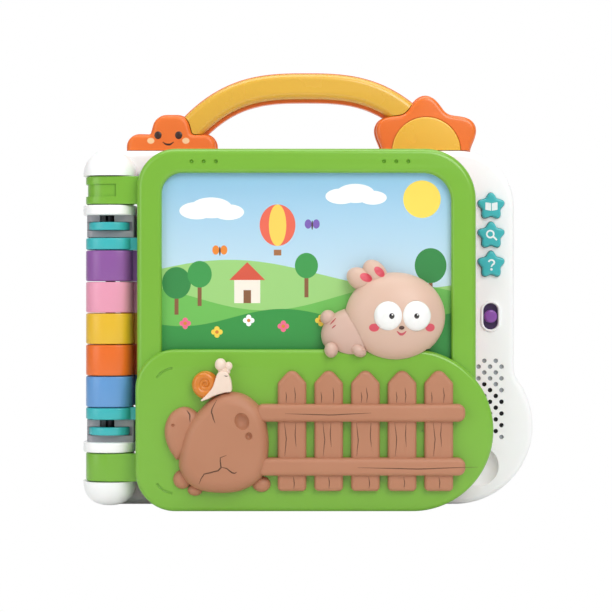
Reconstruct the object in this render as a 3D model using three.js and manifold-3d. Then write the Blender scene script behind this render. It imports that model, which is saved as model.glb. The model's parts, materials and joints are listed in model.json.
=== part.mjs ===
// A talking learning book that stands on its lower edge: a hollow white base with a carrying handle,
// six stiff leaves and a raised cover, all turning on one upright shaft along the left edge.
// Millimetres. x runs to the right, y to the back and z up. While the pieces are made, the shaft's
// axis is x = 0, y = 0 and the floor is z = 0.

import * as THREE from 'three';
import { mergeVertices } from 'three/addons/utils/BufferGeometryUtils.js';
import Module from 'manifold-3d';

const wasm = await Module();
wasm.setup();

// Driving dimensions: fits and walls
const CLEARANCE = 0.3;
const WALL = 2;
const SEAM = 0.3;

// Driving dimensions: the spine, read from the floor upwards
const SHAFT_RADIUS = 3;
const KNUCKLE_HALF = 14.3;
const RING_HALF = 15.9;
const KNUCKLE_GAP = 0.5;
const KNUCKLE_CHAMFER = 0.5;
const CAP_LIFT = 1.6;
const CAP_HEIGHT = 14.9;
const CAP_BORE_DEPTH = 8;
const COVER_KNUCKLE_HEIGHT = 16.5;
const RING_HEIGHT = 5.9;
const COLUMN_HEIGHT = 13.1;
const COLUMN_HALF = 13.5;
const COLUMN_FRONT = -8;
const TEAL_RING_HEIGHT = 6.9;
const LEAF_KNUCKLE_HEIGHT = 18.2;
const CLIP_HEIGHT = 4.8;
const CLIP_HALF = 12.7;
const CLIP_THICKNESS = 3;
const GRIP_GROOVE_HEIGHT = 7.4;
const GRIP_GROOVE_DEPTH = 1;

// Driving dimensions: leaves and cover
const LEAF_COLOURS = {
  teal: 0x3cb8bc,
  purple: 0x9058a1,
  pink: 0xec9eb7,
  yellow: 0xebbc2c,
  orange: 0xee7021,
  blue: 0x659cd5,
};
const LEAF_THICKNESS = 3.2;
const LEAF_GAP = 0.3;
const LEAF_INSET = 1.6;
const LEAF_RIM = 7;
const LEAF_FIELD_DEPTH = 0.3;
const PLATE_GAP = 0.9;
const COVER_BACK = -9;
const COVER_THICKNESS = 13;
const COVER_WIDTH = 199.5;
const COVER_LIFT = 1;
const COVER_LEFT_RADIUS = 23;
const COVER_RIGHT_RADIUS = 30;
const COVER_EDGE = 3.2;
const WINDOW_SIDE_MARGIN = 14.6;
const WINDOW_TOP_MARGIN = 14.3;
const WINDOW_RADIUS = 12;
const WINDOW_DEPTH = 5;
const CARD_THICKNESS = 1.2;
const CARD_LAP = 4;
const INNER_PANEL_THICKNESS = 2.2;
const DIMPLE_RADIUS = 1.2;
const DIMPLE_PITCH = 7.15;
const DIMPLE_DEPTH = 0.8;

// Driving dimensions: the raised ground panel and what stands on it
const PANEL_HEIGHT = 94.8;
const PANEL_LIFT = 0.8;
const PANEL_THICKNESS = 4;
const PANEL_EDGE = 2.4;
const PANEL_LEFT_RADIUS = 23.4;
const PANEL_OVERHANG = 9.8;
const CHANNEL_RADIUS = 12.6;
const CHANNEL_WIDTH = 1.4;
const CHANNEL_DEPTH = 1;
const PICKET_COUNT = 5;
const PICKET_WIDTH = 16.7;
const PICKET_PITCH = 21.4;
const PICKET_HEIGHT = 70.7;
const PICKET_THICKNESS = 4.6;
const PICKET_FOOT = 12.4;
const RAIL_HEIGHT = 10.2;
const RAIL_THICKNESS = 3.2;
const RAIL_SPACING = 31.3;
const ROCK_THICKNESS = 10.5;
const SNAIL_THICKNESS = 6;
const RABBIT_HEAD_DEPTH = 20.5;

// Driving dimensions: base and handle
const BASE_DEPTH = 26;
const BASE_EDGE = 4;
const BASE_PARTING = 11;
const BASE_CORNER = 34;
const STRIP_WIDTH = 26.8;
const LOBE_RADIUS = 47.7;
const LOBE_REACH = 11.4;
const ARM_LEFT = -12;
const ARM_CORNER = 5;
const SCOOP_RADIUS = 12.1;
const SCOOP_DEPTH = 3.9;
const POST_RADIUS = 4;
const HANDLE_RISE = 47.2;
const HANDLE_HALF_SPAN = 91;
const HANDLE_WIDTH = 15.3;
const SUN_INSET = 17.7;
const CLOUD_INSET = 8.7;
const HANDLE_POWER = 2.85;
const HANDLE_DEPTH = 15.5;
const HANDLE_SHELL_LIP = 1;
const BOSS_PROUD = 1.8;
const SUN_RADIUS = 30.4;
const SUN_WAVE = 3.7;
const SUN_DISC_RADIUS = 21;
const SUN_DISC_PROUD = 1.2;
const TONGUE_WIDTH = 18;
const TONGUE_LENGTH = 13;

// Driving dimensions: buttons, switch, speaker and power
const STAR_RADIUS = 7.1;
const STAR_WAVE = 1.2;
const STAR_PITCH = 17.65;
const STAR_PROUD = 3;
const STAR_TRAVEL = 1.6;
const STAR_CLEARANCE = 0.35;
const FLANGE_THICKNESS = 1.2;
const SLOT_WIDTH = 8.9;
const SLOT_HEIGHT = 15.9;
const BEZEL_RIM = 1.1;
const BEZEL_PROUD = 0.8;
const KNOB_RADIUS = 3.95;
const KNOB_PROUD = 2;
const SWITCH_TRAVEL = 3.6;
const HOLE_RADIUS = 1.4;
const HOLE_PITCH_X = 3.48;
const HOLE_PITCH_Z = 3.56;
const HOLE_ROWS = 14;
const BLIND_HOLE_DEPTH = 1.2;
const SPEAKER_RADIUS = 18;
const SPEAKER_DEPTH = 13;
const BOARD_THICKNESS = 1.6;
const BATTERY_RADIUS = 7.1;
const BATTERY_LENGTH = 50;
const BATTERY_COUNT = 3;
const CONTACT_LENGTH = 3;
const DOOR_THICKNESS = 1.9;
const DOOR_LEDGE = 2.5;

// Colours of the moulded plastics
const GREEN = 0x82bf44;
const WHITE = 0xf4f4f4;
const ORANGE = 0xee7021;
const HANDLE_YELLOW = 0xe6bb4e;
const BROWN = 0xc58a6c;
const TEAL = 0x3cb8bc;
const SWITCH_PURPLE = 0x8a3fa0;
const RABBIT_BEIGE = 0xe6cbb8;
const SNAIL_CREAM = 0xefd9c8;
const SNAIL_ORANGE = 0xe8912f;
const STEEL = 0xb8bcc2;

// Places that follow from the driving dimensions: the spine, level by level
const spine = {};
let level = CAP_LIFT;
const stack = [
  ['capLow', CAP_HEIGHT, KNUCKLE_GAP],
  ['coverLow', COVER_KNUCKLE_HEIGHT, KNUCKLE_GAP],
  ['ringLow', RING_HEIGHT, 0],
  ['columnLow', COLUMN_HEIGHT, KNUCKLE_GAP],
  ['tealLow', TEAL_RING_HEIGHT, KNUCKLE_GAP],
  ['blue', LEAF_KNUCKLE_HEIGHT, KNUCKLE_GAP],
  ['orange', LEAF_KNUCKLE_HEIGHT, KNUCKLE_GAP],
  ['yellow', LEAF_KNUCKLE_HEIGHT, KNUCKLE_GAP],
  ['pink', LEAF_KNUCKLE_HEIGHT, KNUCKLE_GAP],
  ['purple', LEAF_KNUCKLE_HEIGHT, KNUCKLE_GAP],
  ['tealHigh', TEAL_RING_HEIGHT, KNUCKLE_GAP],
  ['columnHigh', COLUMN_HEIGHT, 0],
  ['ringHigh', RING_HEIGHT, KNUCKLE_GAP],
  ['coverHigh', COVER_KNUCKLE_HEIGHT, KNUCKLE_GAP],
  ['capHigh', CAP_HEIGHT, 0],
];
for (const [name, height, gap] of stack) {
  spine[name] = { bottom: level, top: level + height };
  level += height + gap;
}

// Places that follow: heights, widths and depths
const KNUCKLE_POWER = 2.8;
const RING_POWER = 2.4;
const BORE_RADIUS = SHAFT_RADIUS + CLEARANCE;
const RING_REACH = RING_HALF * 2 ** (0.5 - 1 / RING_POWER);
const COVER_LEFT = RING_REACH + PLATE_GAP;
const COVER_RIGHT = COVER_LEFT + COVER_WIDTH;
const COVER_TOP = spine.capHigh.top + 0.4;
const COVER_FRONT = COVER_BACK - COVER_THICKNESS;
const CARD_FRONT = COVER_FRONT + WINDOW_DEPTH;
const LEAF_NAMES = Object.keys(LEAF_COLOURS);
const LEAF_PITCH = LEAF_THICKNESS + LEAF_GAP;
const DECK_FRONT = COVER_BACK + LEAF_NAMES.length * LEAF_PITCH + LEAF_GAP;
const BASE_BACK = DECK_FRONT + BASE_DEPTH;
const PARTING = DECK_FRONT + BASE_PARTING;
const BASE_TOP = spine.capHigh.top + CAP_LIFT + 0.5;
const BASE_RIGHT = COVER_RIGHT + STRIP_WIDTH;
const PANEL_FRONT = COVER_FRONT - PANEL_THICKNESS;
const PANEL_LEFT = COVER_LEFT - 0.5;
const PANEL_RIGHT = COVER_RIGHT + PANEL_OVERHANG;
const PANEL_TOP = PANEL_LIFT + PANEL_HEIGHT;
const panelMiddle = PANEL_LIFT + PANEL_HEIGHT / 2;
const STRIP_MIDDLE = COVER_RIGHT + STRIP_WIDTH / 2 - 1;
const TOOL = 200;
const ARC_FINENESS = 1.9;

// Outlines are closed rows of points, anticlockwise. This one is a polygon with each corner rounded.
function roundedOutline(corners) {
  const outline = [];
  corners.forEach(([x, z, radius], index) => {
    const here = new THREE.Vector2(x, z);
    const before = corners.at(index - 1);
    const after = corners[(index + 1) % corners.length];
    if (!radius) {
      outline.push(here);
      return;
    }
    const back = new THREE.Vector2(before[0], before[1]).sub(here);
    const ahead = new THREE.Vector2(after[0], after[1]).sub(here);
    const room = Math.min(back.length(), ahead.length()) / 2;
    back.normalize();
    ahead.normalize();
    const half = Math.acos(THREE.MathUtils.clamp(back.dot(ahead), -1, 1)) / 2;
    const reach = Math.min(radius / Math.tan(half), room);
    const away = reach / Math.cos(half);
    const middle = back.clone().add(ahead).normalize().multiplyScalar(away).add(here);
    const from = here.clone().addScaledVector(back, reach).sub(middle);
    const turn = (back.cross(ahead) < 0 ? 1 : -1) * (Math.PI - 2 * half);
    const steps = Math.ceil((Math.sqrt(radius) * Math.abs(turn)) / ARC_FINENESS);
    for (let step = 0; step <= steps; step++) {
      const ray = from.clone().rotateAround(new THREE.Vector2(), (turn * step) / steps);
      outline.push(ray.add(middle));
    }
  });
  return outline.filter((point, index) => point.distanceTo(outline.at(index - 1)) > 0.01);
}

function rectangle(left, bottom, right, top, radius = 0) {
  const corners = [[left, bottom], [right, bottom], [right, top], [left, top]];
  return roundedOutline(corners.map(([x, z]) => [x, z, radius]));
}

function polarOutline(x, z, count, radiusAt) {
  return Array.from({ length: count }, (_, index) => {
    const angle = Math.PI / 2 + (2 * Math.PI * index) / count;
    const radius = radiusAt(angle);
    return new THREE.Vector2(x + radius * Math.cos(angle), z + radius * Math.sin(angle));
  });
}

function circle(x, z, radius, sides = 12) {
  return polarOutline(x, z, sides, () => radius);
}

// A rounded square, like the spine's knuckles seen from above
function squircle(half, power, count = 20) {
  return polarOutline(0, 0, count, (angle) => {
    const sum = Math.abs(Math.cos(angle)) ** power + Math.abs(Math.sin(angle)) ** power;
    return half * sum ** (-1 / power);
  });
}

function smoothOutline(points, count) {
  const spots = points.map(([x, z]) => new THREE.Vector3(x, z, 0));
  const curve = new THREE.CatmullRomCurve3(spots, true, 'centripetal');
  return curve.getPoints(count).slice(0, count).map((point) => new THREE.Vector2(point.x, point.y));
}

// Moves an outline inwards, or outwards by a negative distance
function inset(outline, distance) {
  if (!distance) return outline;
  return outline.map((point, index) => {
    const before = outline.at(index - 1);
    const after = outline[(index + 1) % outline.length];
    const first = point.clone().sub(before).normalize();
    const second = after.clone().sub(point).normalize();
    const along = first.clone().add(second).normalize();
    const stretch = distance / Math.max(0.5, along.dot(first));
    return new THREE.Vector2(point.x - along.y * stretch, point.y + along.x * stretch);
  });
}

const grow = (outline, distance) => inset(outline, -distance);

// Where a point of an outline goes, for a loft from front to back and for one from the floor upwards
const throughDepth = (u, v, along) => [u, along, v];
const upwards = (u, v, along) => [u, v, along];

// Skins a row of outlines with equal counts of points and closes both ends
function loft(rings, place) {
  const count = rings[0].outline.length;
  const positions = rings.flatMap(({ outline, at }) => outline.flatMap(({ x, y }) => place(x, y, at)));
  const faces = [];
  for (let ring = 0; ring + 1 < rings.length; ring++) {
    for (let index = 0; index < count; index++) {
      const a = ring * count + index;
      const b = ring * count + ((index + 1) % count);
      faces.push([a, b, b + count], [a, b + count, a + count]);
    }
  }
  const turnsLeft = ({ outline }, [a, b, c]) => {
    const first = outline[b].clone().sub(outline[a]);
    return first.cross(outline[c].clone().sub(outline[a])) > 0;
  };
  for (const [ring, facesUp] of [[0, false], [rings.length - 1, true]]) {
    for (const triangle of THREE.ShapeUtils.triangulateShape(rings[ring].outline.slice(), [])) {
      const [a, b, c] = triangle.map((index) => index + ring * count);
      faces.push(turnsLeft(rings[ring], triangle) === facesUp ? [a, b, c] : [a, c, b]);
    }
  }
  const handed = new THREE.Matrix3().set(...place(1, 0, 0), ...place(0, 1, 0), ...place(0, 0, 1));
  const order = handed.determinant() > 0 ? faces : faces.map(([a, b, c]) => [a, c, b]);
  const geometry = new THREE.BufferGeometry();
  geometry.setAttribute('position', new THREE.Float32BufferAttribute(positions, 3));
  geometry.setIndex(order.flat());
  return geometry;
}

// Between a three.js geometry and a solid that can be cut and joined
function solid(geometry) {
  const bare = geometry.clone();
  bare.deleteAttribute('normal');
  bare.deleteAttribute('uv');
  const merged = mergeVertices(bare, 1e-4);
  return new wasm.Manifold(new wasm.Mesh({
    numProp: 3,
    vertProperties: new Float32Array(merged.attributes.position.array),
    triVerts: new Uint32Array(merged.index.array),
  }));
}

function geometryOf(body) {
  const mesh = body.getMesh();
  const geometry = new THREE.BufferGeometry();
  geometry.setAttribute('position', new THREE.BufferAttribute(mesh.vertProperties, 3));
  geometry.setIndex(new THREE.BufferAttribute(mesh.triVerts, 1));
  geometry.computeVertexNormals();
  return geometry;
}

const join = (first, ...others) => others.reduce((body, other) => body.add(other), first);
const cut = (body, ...tools) => tools.reduce((rest, tool) => rest.subtract(tool), body);

// A plate with its outline in x and z, and its front and back edges rounded
function plate(outline, front, back, frontRound = 0, backRound = 0, steps = 2) {
  const rings = [];
  const ring = (at, distance) => rings.push({ at, outline: inset(outline, distance) });
  const bend = (step) => (Math.PI / 2) * (step / steps);
  if (frontRound) {
    for (let step = 0; step < steps; step++) {
      ring(front + frontRound * (1 - Math.cos(bend(step))), frontRound * (1 - Math.sin(bend(step))));
    }
  }
  ring(front + frontRound, 0);
  ring(back - backRound, 0);
  if (backRound) {
    for (let step = steps - 1; step >= 0; step--) {
      ring(back - backRound * (1 - Math.cos(bend(step))), backRound * (1 - Math.sin(bend(step))));
    }
  }
  return solid(loft(rings, throughDepth));
}

// A plate with its outline in x and y, between two heights
function slab(outline, bottom, top, chamfer = 0) {
  const rings = chamfer
    ? [[bottom, chamfer], [bottom + chamfer, 0], [top - chamfer, 0], [top, chamfer]]
    : [[bottom, 0], [top, 0]];
  return solid(loft(rings.map(([at, distance]) => ({ at, outline: inset(outline, distance) })), upwards));
}

function block(left, front, bottom, right, back, top) {
  return plate(rectangle(left, bottom, right, top), front, back);
}

function ball([x, y, z], [rx, ry, rz], tilt = 0, around = 16, along = 10) {
  const geometry = new THREE.SphereGeometry(1, around, along);
  geometry.scale(rx, ry, rz);
  geometry.rotateY(THREE.MathUtils.degToRad(-tilt));
  geometry.translate(x, y, z);
  return solid(geometry);
}

const inFrontOf = (y) => block(-TOOL, y - TOOL, -TOOL, 2 * TOOL, y, 2 * TOOL);
const above = (z) => block(-TOOL, -TOOL, z, 2 * TOOL, TOOL, z + 2 * TOOL);
const bore = (radius, bottom, top) => slab(circle(0, 0, radius, 8), bottom, top);

const book = new THREE.Group();

function piece(name, body, colour, roughness = 0.35, metalness = 0) {
  const material = new THREE.MeshStandardMaterial({ color: colour, roughness, metalness });
  const mesh = new THREE.Mesh(geometryOf(body), material);
  mesh.name = name;
  book.add(mesh);
}

// The knuckle and strap by which a leaf or the cover turns on the shaft
function knuckle({ bottom, top }) {
  return slab(squircle(KNUCKLE_HALF, KNUCKLE_POWER), bottom, top, KNUCKLE_CHAMFER);
}

function strap({ bottom, top }, front, back, reach) {
  const inside = BORE_RADIUS + 3;
  return block(inside, front, bottom + KNUCKLE_CHAMFER, reach, back, top - KNUCKLE_CHAMFER);
}

// The cover: a frame with two knuckles and a window, closed behind by a panel that holds the picture
const coverOutline = roundedOutline([
  [COVER_LEFT, COVER_LIFT, COVER_LEFT_RADIUS],
  [COVER_RIGHT, COVER_LIFT, COVER_LEFT_RADIUS],
  [COVER_RIGHT, COVER_TOP, COVER_RIGHT_RADIUS],
  [COVER_LEFT, COVER_TOP, COVER_LEFT_RADIUS],
]);
const windowLeft = COVER_LEFT + WINDOW_SIDE_MARGIN;
const windowRight = COVER_RIGHT - WINDOW_SIDE_MARGIN;
const windowTop = COVER_TOP - WINDOW_TOP_MARGIN;
const windowOutline = rectangle(windowLeft, PANEL_TOP - 7, windowRight, windowTop, WINDOW_RADIUS);

function makeCoverFrame() {
  const shell = plate(coverOutline, COVER_FRONT, COVER_BACK, COVER_EDGE);
  const hollow = inset(coverOutline, WALL);
  const lip = plate(grow(windowOutline, WALL), COVER_FRONT, CARD_FRONT);
  const aroundLip = cut(plate(hollow, COVER_FRONT + WALL, CARD_FRONT), lip);
  const behindCard = plate(hollow, CARD_FRONT, COVER_BACK + 1);
  const opening = solid(loft([
    { at: COVER_FRONT - 1, outline: grow(windowOutline, 2.6) },
    { at: COVER_FRONT + 0.4, outline: grow(windowOutline, 1.2) },
    { at: COVER_FRONT + 1.6, outline: windowOutline },
    { at: CARD_FRONT + 1, outline: windowOutline },
  ], throughDepth));
  let frame = cut(shell, aroundLip, behindCard, opening);
  for (const side of [-1, 1]) {
    for (let index = 0; index < 3; index++) {
      const edge = side < 0 ? windowLeft + 17.7 : windowRight - 25.3 - 2 * DIMPLE_PITCH;
      const dimple = circle(edge + index * DIMPLE_PITCH, COVER_TOP - 7.7, DIMPLE_RADIUS, 6);
      frame = cut(frame, plate(dimple, COVER_FRONT - 1, COVER_FRONT + DIMPLE_DEPTH));
    }
  }
  for (const place of [spine.coverLow, spine.coverHigh]) {
    const arm = strap(place, -KNUCKLE_HALF, COVER_BACK, COVER_LEFT + WALL - CLEARANCE);
    frame = join(frame, knuckle(place), arm);
  }
  const groove = (spine.coverHigh.bottom + spine.coverHigh.top) / 2;
  const low = groove - GRIP_GROOVE_HEIGHT / 2;
  const high = groove + GRIP_GROOVE_HEIGHT / 2;
  const core = slab(squircle(KNUCKLE_HALF - GRIP_GROOVE_DEPTH, KNUCKLE_POWER), low - 1, high + 1);
  const band = block(-RING_HALF, -RING_HALF, low, BORE_RADIUS + 1.2, RING_HALF, high);
  return cut(frame, cut(band, core), bore(BORE_RADIUS, 0, COVER_TOP));
}

function makeInnerPanel() {
  const back = plate(inset(coverOutline, WALL + CLEARANCE), COVER_BACK - INNER_PANEL_THICKNESS, COVER_BACK);
  const ribFront = CARD_FRONT + CARD_THICKNESS;
  const rib = plate(grow(windowOutline, CARD_LAP - 1), ribFront, COVER_BACK - 1);
  const inside = plate(grow(windowOutline, CARD_LAP - 3), ribFront - 1, COVER_BACK - INNER_PANEL_THICKNESS);
  return join(back, cut(rib, inside));
}

// The ground panel: a raised plate over the cover's lower half, with a skirt where it overhangs
const panelOutline = roundedOutline([
  [PANEL_LEFT, PANEL_LIFT, PANEL_LEFT_RADIUS],
  [PANEL_RIGHT, PANEL_LIFT, PANEL_HEIGHT / 2],
  [PANEL_RIGHT, PANEL_TOP, PANEL_HEIGHT / 2],
  [PANEL_LEFT, PANEL_TOP, PANEL_LEFT_RADIUS],
]);

function arcChannel(x, z, from, to) {
  const steps = 5;
  const arc = (distance) => Array.from({ length: steps + 1 }, (_, step) => {
    const angle = THREE.MathUtils.degToRad(from + ((to - from) * step) / steps);
    return new THREE.Vector2(x + distance * Math.cos(angle), z + distance * Math.sin(angle));
  });
  const half = CHANNEL_WIDTH / 2;
  const outline = [...arc(CHANNEL_RADIUS + half), ...arc(CHANNEL_RADIUS - half).reverse()];
  return plate(outline, PANEL_FRONT - 1, PANEL_FRONT + CHANNEL_DEPTH);
}

function makeGroundPanel() {
  const face = plate(panelOutline, PANEL_FRONT, COVER_FRONT, PANEL_EDGE);
  const skirt = plate(panelOutline, COVER_FRONT, COVER_BACK);
  const overhang = block(COVER_RIGHT + CLEARANCE, COVER_FRONT, 0, 2 * COVER_RIGHT, COVER_BACK, PANEL_TOP);
  const corner = PANEL_LEFT + PANEL_LEFT_RADIUS;
  const high = arcChannel(corner, PANEL_TOP - PANEL_LEFT_RADIUS, 97, 147);
  const low = arcChannel(corner, PANEL_LIFT + PANEL_LEFT_RADIUS, 213, 263);
  const pinholeX = PANEL_RIGHT - PANEL_HEIGHT / 2 + 5.6;
  const pinhole = plate(circle(pinholeX, panelMiddle, 0.8, 8), PANEL_FRONT - 1, PANEL_FRONT + 1);
  return cut(join(face, skirt.intersect(overhang)), high, low, pinhole);
}

// The fence: five pickets with pointed tops behind two rails, moulded as one piece
function makeFence() {
  const foot = PANEL_LIFT + PICKET_FOOT;
  const first = PANEL_RIGHT - 32.4 - (PICKET_COUNT - 1) * PICKET_PITCH;
  const pickets = Array.from({ length: PICKET_COUNT }, (_, index) => {
    const left = first + index * PICKET_PITCH - PICKET_WIDTH / 2;
    const right = left + PICKET_WIDTH;
    const outline = roundedOutline([
      [left, foot, 2.5],
      [right, foot, 2.5],
      [right, foot + PICKET_HEIGHT - 7.6, 2.5],
      [left + PICKET_WIDTH / 2, foot + PICKET_HEIGHT + 1.6, 4.5],
      [left, foot + PICKET_HEIGHT - 7.6, 2.5],
    ]);
    return plate(outline, PANEL_FRONT - PICKET_THICKNESS, PANEL_FRONT, 1.2, 0, 1);
  });
  const railLeft = first - PICKET_WIDTH / 2 - 8;
  const railRight = first + (PICKET_COUNT - 1) * PICKET_PITCH + PICKET_WIDTH / 2 + 6.8;
  const rails = [0, 1].map((index) => {
    const bottom = foot + 9.3 + index * RAIL_SPACING;
    const outline = rectangle(railLeft, bottom, railRight, bottom + RAIL_HEIGHT, 2.8);
    const front = PANEL_FRONT - PICKET_THICKNESS - RAIL_THICKNESS;
    return plate(outline, front, PANEL_FRONT, 1.4, 0, 1);
  });
  return join(...pickets, ...rails);
}

// The rocks: a big boulder, a small one leaning on it and three pebbles, moulded as one piece
// Offsets are from the ground panel's left edge and its middle height.
const onPanel = ([x, z]) => [PANEL_LEFT + x, panelMiddle + z];
const boulderOutline = smoothOutline([
  [46.8, -36.6], [63.8, -33.2], [74.3, -25.2], [78.2, -10.2], [77, 4.8], [70.8, 17.3], [59.8, 22.6],
  [48.8, 20.4], [38.8, 13.3], [30.8, 1.8], [26.4, -11.2], [27.8, -25.2], [34.8, -33.6],
].map(onPanel), 24);
const smallOutline = smoothOutline([
  [25.8, -17.2], [36.8, -8.2], [39.8, 5.8], [34.8, 12.8],
  [26.8, 14.2], [19.3, 9.3], [16.6, 1.8], [18.8, -9.2],
].map(onPanel), 14);

function makeRock() {
  const front = PANEL_FRONT - ROCK_THICKNESS;
  const boulder = plate(boulderOutline, front, PANEL_FRONT, 6, 0, 3);
  const small = plate(smallOutline, PANEL_FRONT - 6, PANEL_FRONT, 4, 0, 2);
  const lump = ([x, z], y, radii) => ball([PANEL_LEFT + x, y, panelMiddle + z], radii, 0, 10, 6);
  const low = [
    lump([27.3, -27.2], PANEL_FRONT, [5.2, 4.2, 6.6]),
    lump([35.2, -34.6], PANEL_FRONT, [4.4, 4.2, 3.2]),
    lump([74.2, -30.6], PANEL_FRONT, [5.4, 4.2, 5.2]),
  ];
  const dimple = lump([63.1, 6.4], front - 1.6, [4.6, 4.2, 5.4]);
  const dent = lump([67.4, -2], front - 0.8, [2.2, 2.4, 2.4]);
  return cut(join(boulder, small, ...low).intersect(inFrontOf(PANEL_FRONT)), dimple, dent);
}

// The snail on top of the boulder: a coiled shell and a soft body with two eye stalks
const snailX = PANEL_LEFT + 41.4;
const snailZ = panelMiddle + 27.6;

function makeSnailBody(shell) {
  const outline = smoothOutline([
    [-2, -9.6], [4, -8.2], [11, -4.6], [15.4, -3.6], [15.6, 0.6], [13.6, 5], [10.8, 7.4], [7, 6.8], [3, 0],
  ].map(([x, z]) => [snailX + x, snailZ + z]), 22);
  const body = plate(outline, PANEL_FRONT - SNAIL_THICKNESS, PANEL_FRONT, 1, 0, 1);
  const leftEye = ball([snailX + 9.6, PANEL_FRONT - 3, snailZ + 11.2], [3.1, 2.8, 4.2], 0, 10, 8);
  const rightEye = ball([snailX + 14.2, PANEL_FRONT - 3, snailZ + 9.6], [2.2, 2.2, 3.2], 0, 10, 6);
  const rockClear = plate(grow(boulderOutline, CLEARANCE), PANEL_FRONT - TOOL, PANEL_FRONT + 1);
  return cut(join(body, leftEye, rightEye).intersect(inFrontOf(PANEL_FRONT)), rockClear, shell);
}

function makeSnailShell(extra = 0) {
  const outline = circle(snailX, snailZ, 7.5 + extra, 24);
  const disc = plate(outline, PANEL_FRONT - SNAIL_THICKNESS - 1.4 - extra, PANEL_FRONT + extra, 3.4, 0, 3);
  const slope = roundedOutline([
    [snailX - 20, snailZ - 24, 0], [snailX - 0.6 + extra, snailZ - 10, 0],
    [snailX + 7.2 + extra, snailZ + 8, 0], [snailX - 4, snailZ + 24, 0], [snailX - 24, snailZ + 6, 0],
  ]);
  const kept = disc.intersect(plate(slope, PANEL_FRONT - TOOL, PANEL_FRONT + extra));
  return cut(kept, plate(grow(boulderOutline, CLEARANCE), PANEL_FRONT - TOOL, PANEL_FRONT + 1));
}

// The rabbit relief: a body lying on the picture, and a big head with two ears in front of it
const rabbitX = windowRight - 33.7;
const rabbitZ = PANEL_TOP + 19.6;
const rabbitFront = CARD_FRONT - RABBIT_HEAD_DEPTH;

function makeRabbitHead(extra = 0) {
  const head = ball([rabbitX, CARD_FRONT - 5, rabbitZ],
    [28.9 + extra, RABBIT_HEAD_DEPTH - 5 + extra, 25.4 + extra], 0, 18, 12);
  const ears = [[-21, 23.4, 152], [-12.6, 27.6, 128]].map(([dx, dz, tilt]) => (
    ball([rabbitX + dx, CARD_FRONT - 5, rabbitZ + dz], [8.4 + extra, 6 + extra, 6.2 + extra], tilt, 10, 6)));
  return join(head, ...ears).intersect(inFrontOf(CARD_FRONT + extra));
}

const eyeXs = [-9.4, 9.4].map((dx) => rabbitX + 4 + dx);

function makeRabbitEye(x, extra = 0) {
  const eye = ball([x, rabbitFront + 3.2, rabbitZ + 1.4], [7.4 + extra, 3.6 + extra, 7.6 + extra], 0, 12, 6);
  return eye.intersect(inFrontOf(rabbitFront + 3.6 + extra));
}

function makeRabbitBody() {
  const x = rabbitX - 24.4;
  const torso = ball([x, CARD_FRONT - 3, rabbitZ - 9.6], [19.6, 11, 15], 8, 16, 8);
  const tail = ball([x - 16.2, CARD_FRONT - 4, rabbitZ + 1], [4.6, 5, 4.4], 0, 8, 6);
  const paws = [-13.4, 3.2].map((dx) => (
    ball([x + dx, PANEL_FRONT - 1, rabbitZ - 20.2], [4.1, 5.2, 5.1], 0, 10, 6)));
  return join(torso, tail, ...paws);
}

// The base: a front and a rear shell round one hollow, with arms that reach behind the spine
const knuckleRun = (low, high) => [spine[low].bottom - KNUCKLE_GAP, spine[high].top + KNUCKLE_GAP];
const runs = [
  knuckleRun('coverLow', 'coverLow'),
  knuckleRun('tealLow', 'tealHigh'),
  knuckleRun('coverHigh', 'coverHigh'),
];
const bodyLeft = RING_REACH;
const deckOutline = roundedOutline([
  [ARM_LEFT, 0, ARM_CORNER],
  [BASE_RIGHT, 0, LOBE_RADIUS - LOBE_REACH],
  [BASE_RIGHT, BASE_TOP, BASE_CORNER],
  [ARM_LEFT, BASE_TOP, ARM_CORNER],
  ...runs.reverse().flatMap(([low, high]) => [
    [ARM_LEFT, high, ARM_CORNER], [bodyLeft, high, 1], [bodyLeft, low, 1], [ARM_LEFT, low, ARM_CORNER],
  ]),
]);
const lobeX = BASE_RIGHT + LOBE_REACH - LOBE_RADIUS;
const lobeOutline = circle(lobeX, LOBE_RADIUS, LOBE_RADIUS, 32);
const posts = [
  [COVER_LEFT + 14, 14], [COVER_LEFT + 104, 12], [lobeX - 20, 12],
  [COVER_LEFT + 44, BASE_TOP - 12], [COVER_LEFT + 104, BASE_TOP - 12], [COVER_RIGHT - 8, BASE_TOP - 12],
];
const starTop = BASE_TOP - 34.2;
const starHeights = [0, 1, 2].map((index) => starTop - index * STAR_PITCH);
const starX = STRIP_MIDDLE;
const switchX = STRIP_MIDDLE - 0.2;
const switchZ = starHeights[2] - 31.4;
const speakerX = BASE_RIGHT - WALL - SPEAKER_RADIUS - 2;
const speakerZ = LOBE_RADIUS + 12.5;
const scoopX = BASE_RIGHT - 22.3;
const scoopZ = 23.5;
const bossFront = DECK_FRONT + BASE_EDGE + 0.2;
const archFront = bossFront + BOSS_PROUD;
const handleBack = archFront + HANDLE_DEPTH;
const handleParting = PARTING + SEAM + 1.5;
const tongueBack = handleParting + 5;
const handleX = COVER_LEFT + COVER_WIDTH / 2 - 0.1;
const handleFoot = BASE_TOP + CLEARANCE;
const sunX = handleX + HANDLE_HALF_SPAN - SUN_INSET;
const cloudX = handleX - HANDLE_HALF_SPAN + CLOUD_INSET;

const starOutline = (z, growth) => grow(polarOutline(starX, z, 25, (angle) => (
  STAR_RADIUS + STAR_WAVE * Math.cos(5 * (angle - Math.PI / 2)))), growth);

function deckSolid(front, back, frontRound, backRound, distance = 0) {
  const main = plate(inset(deckOutline, distance), front, back, frontRound, backRound);
  return join(main, plate(inset(lobeOutline, distance), front, back, frontRound, backRound));
}

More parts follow.
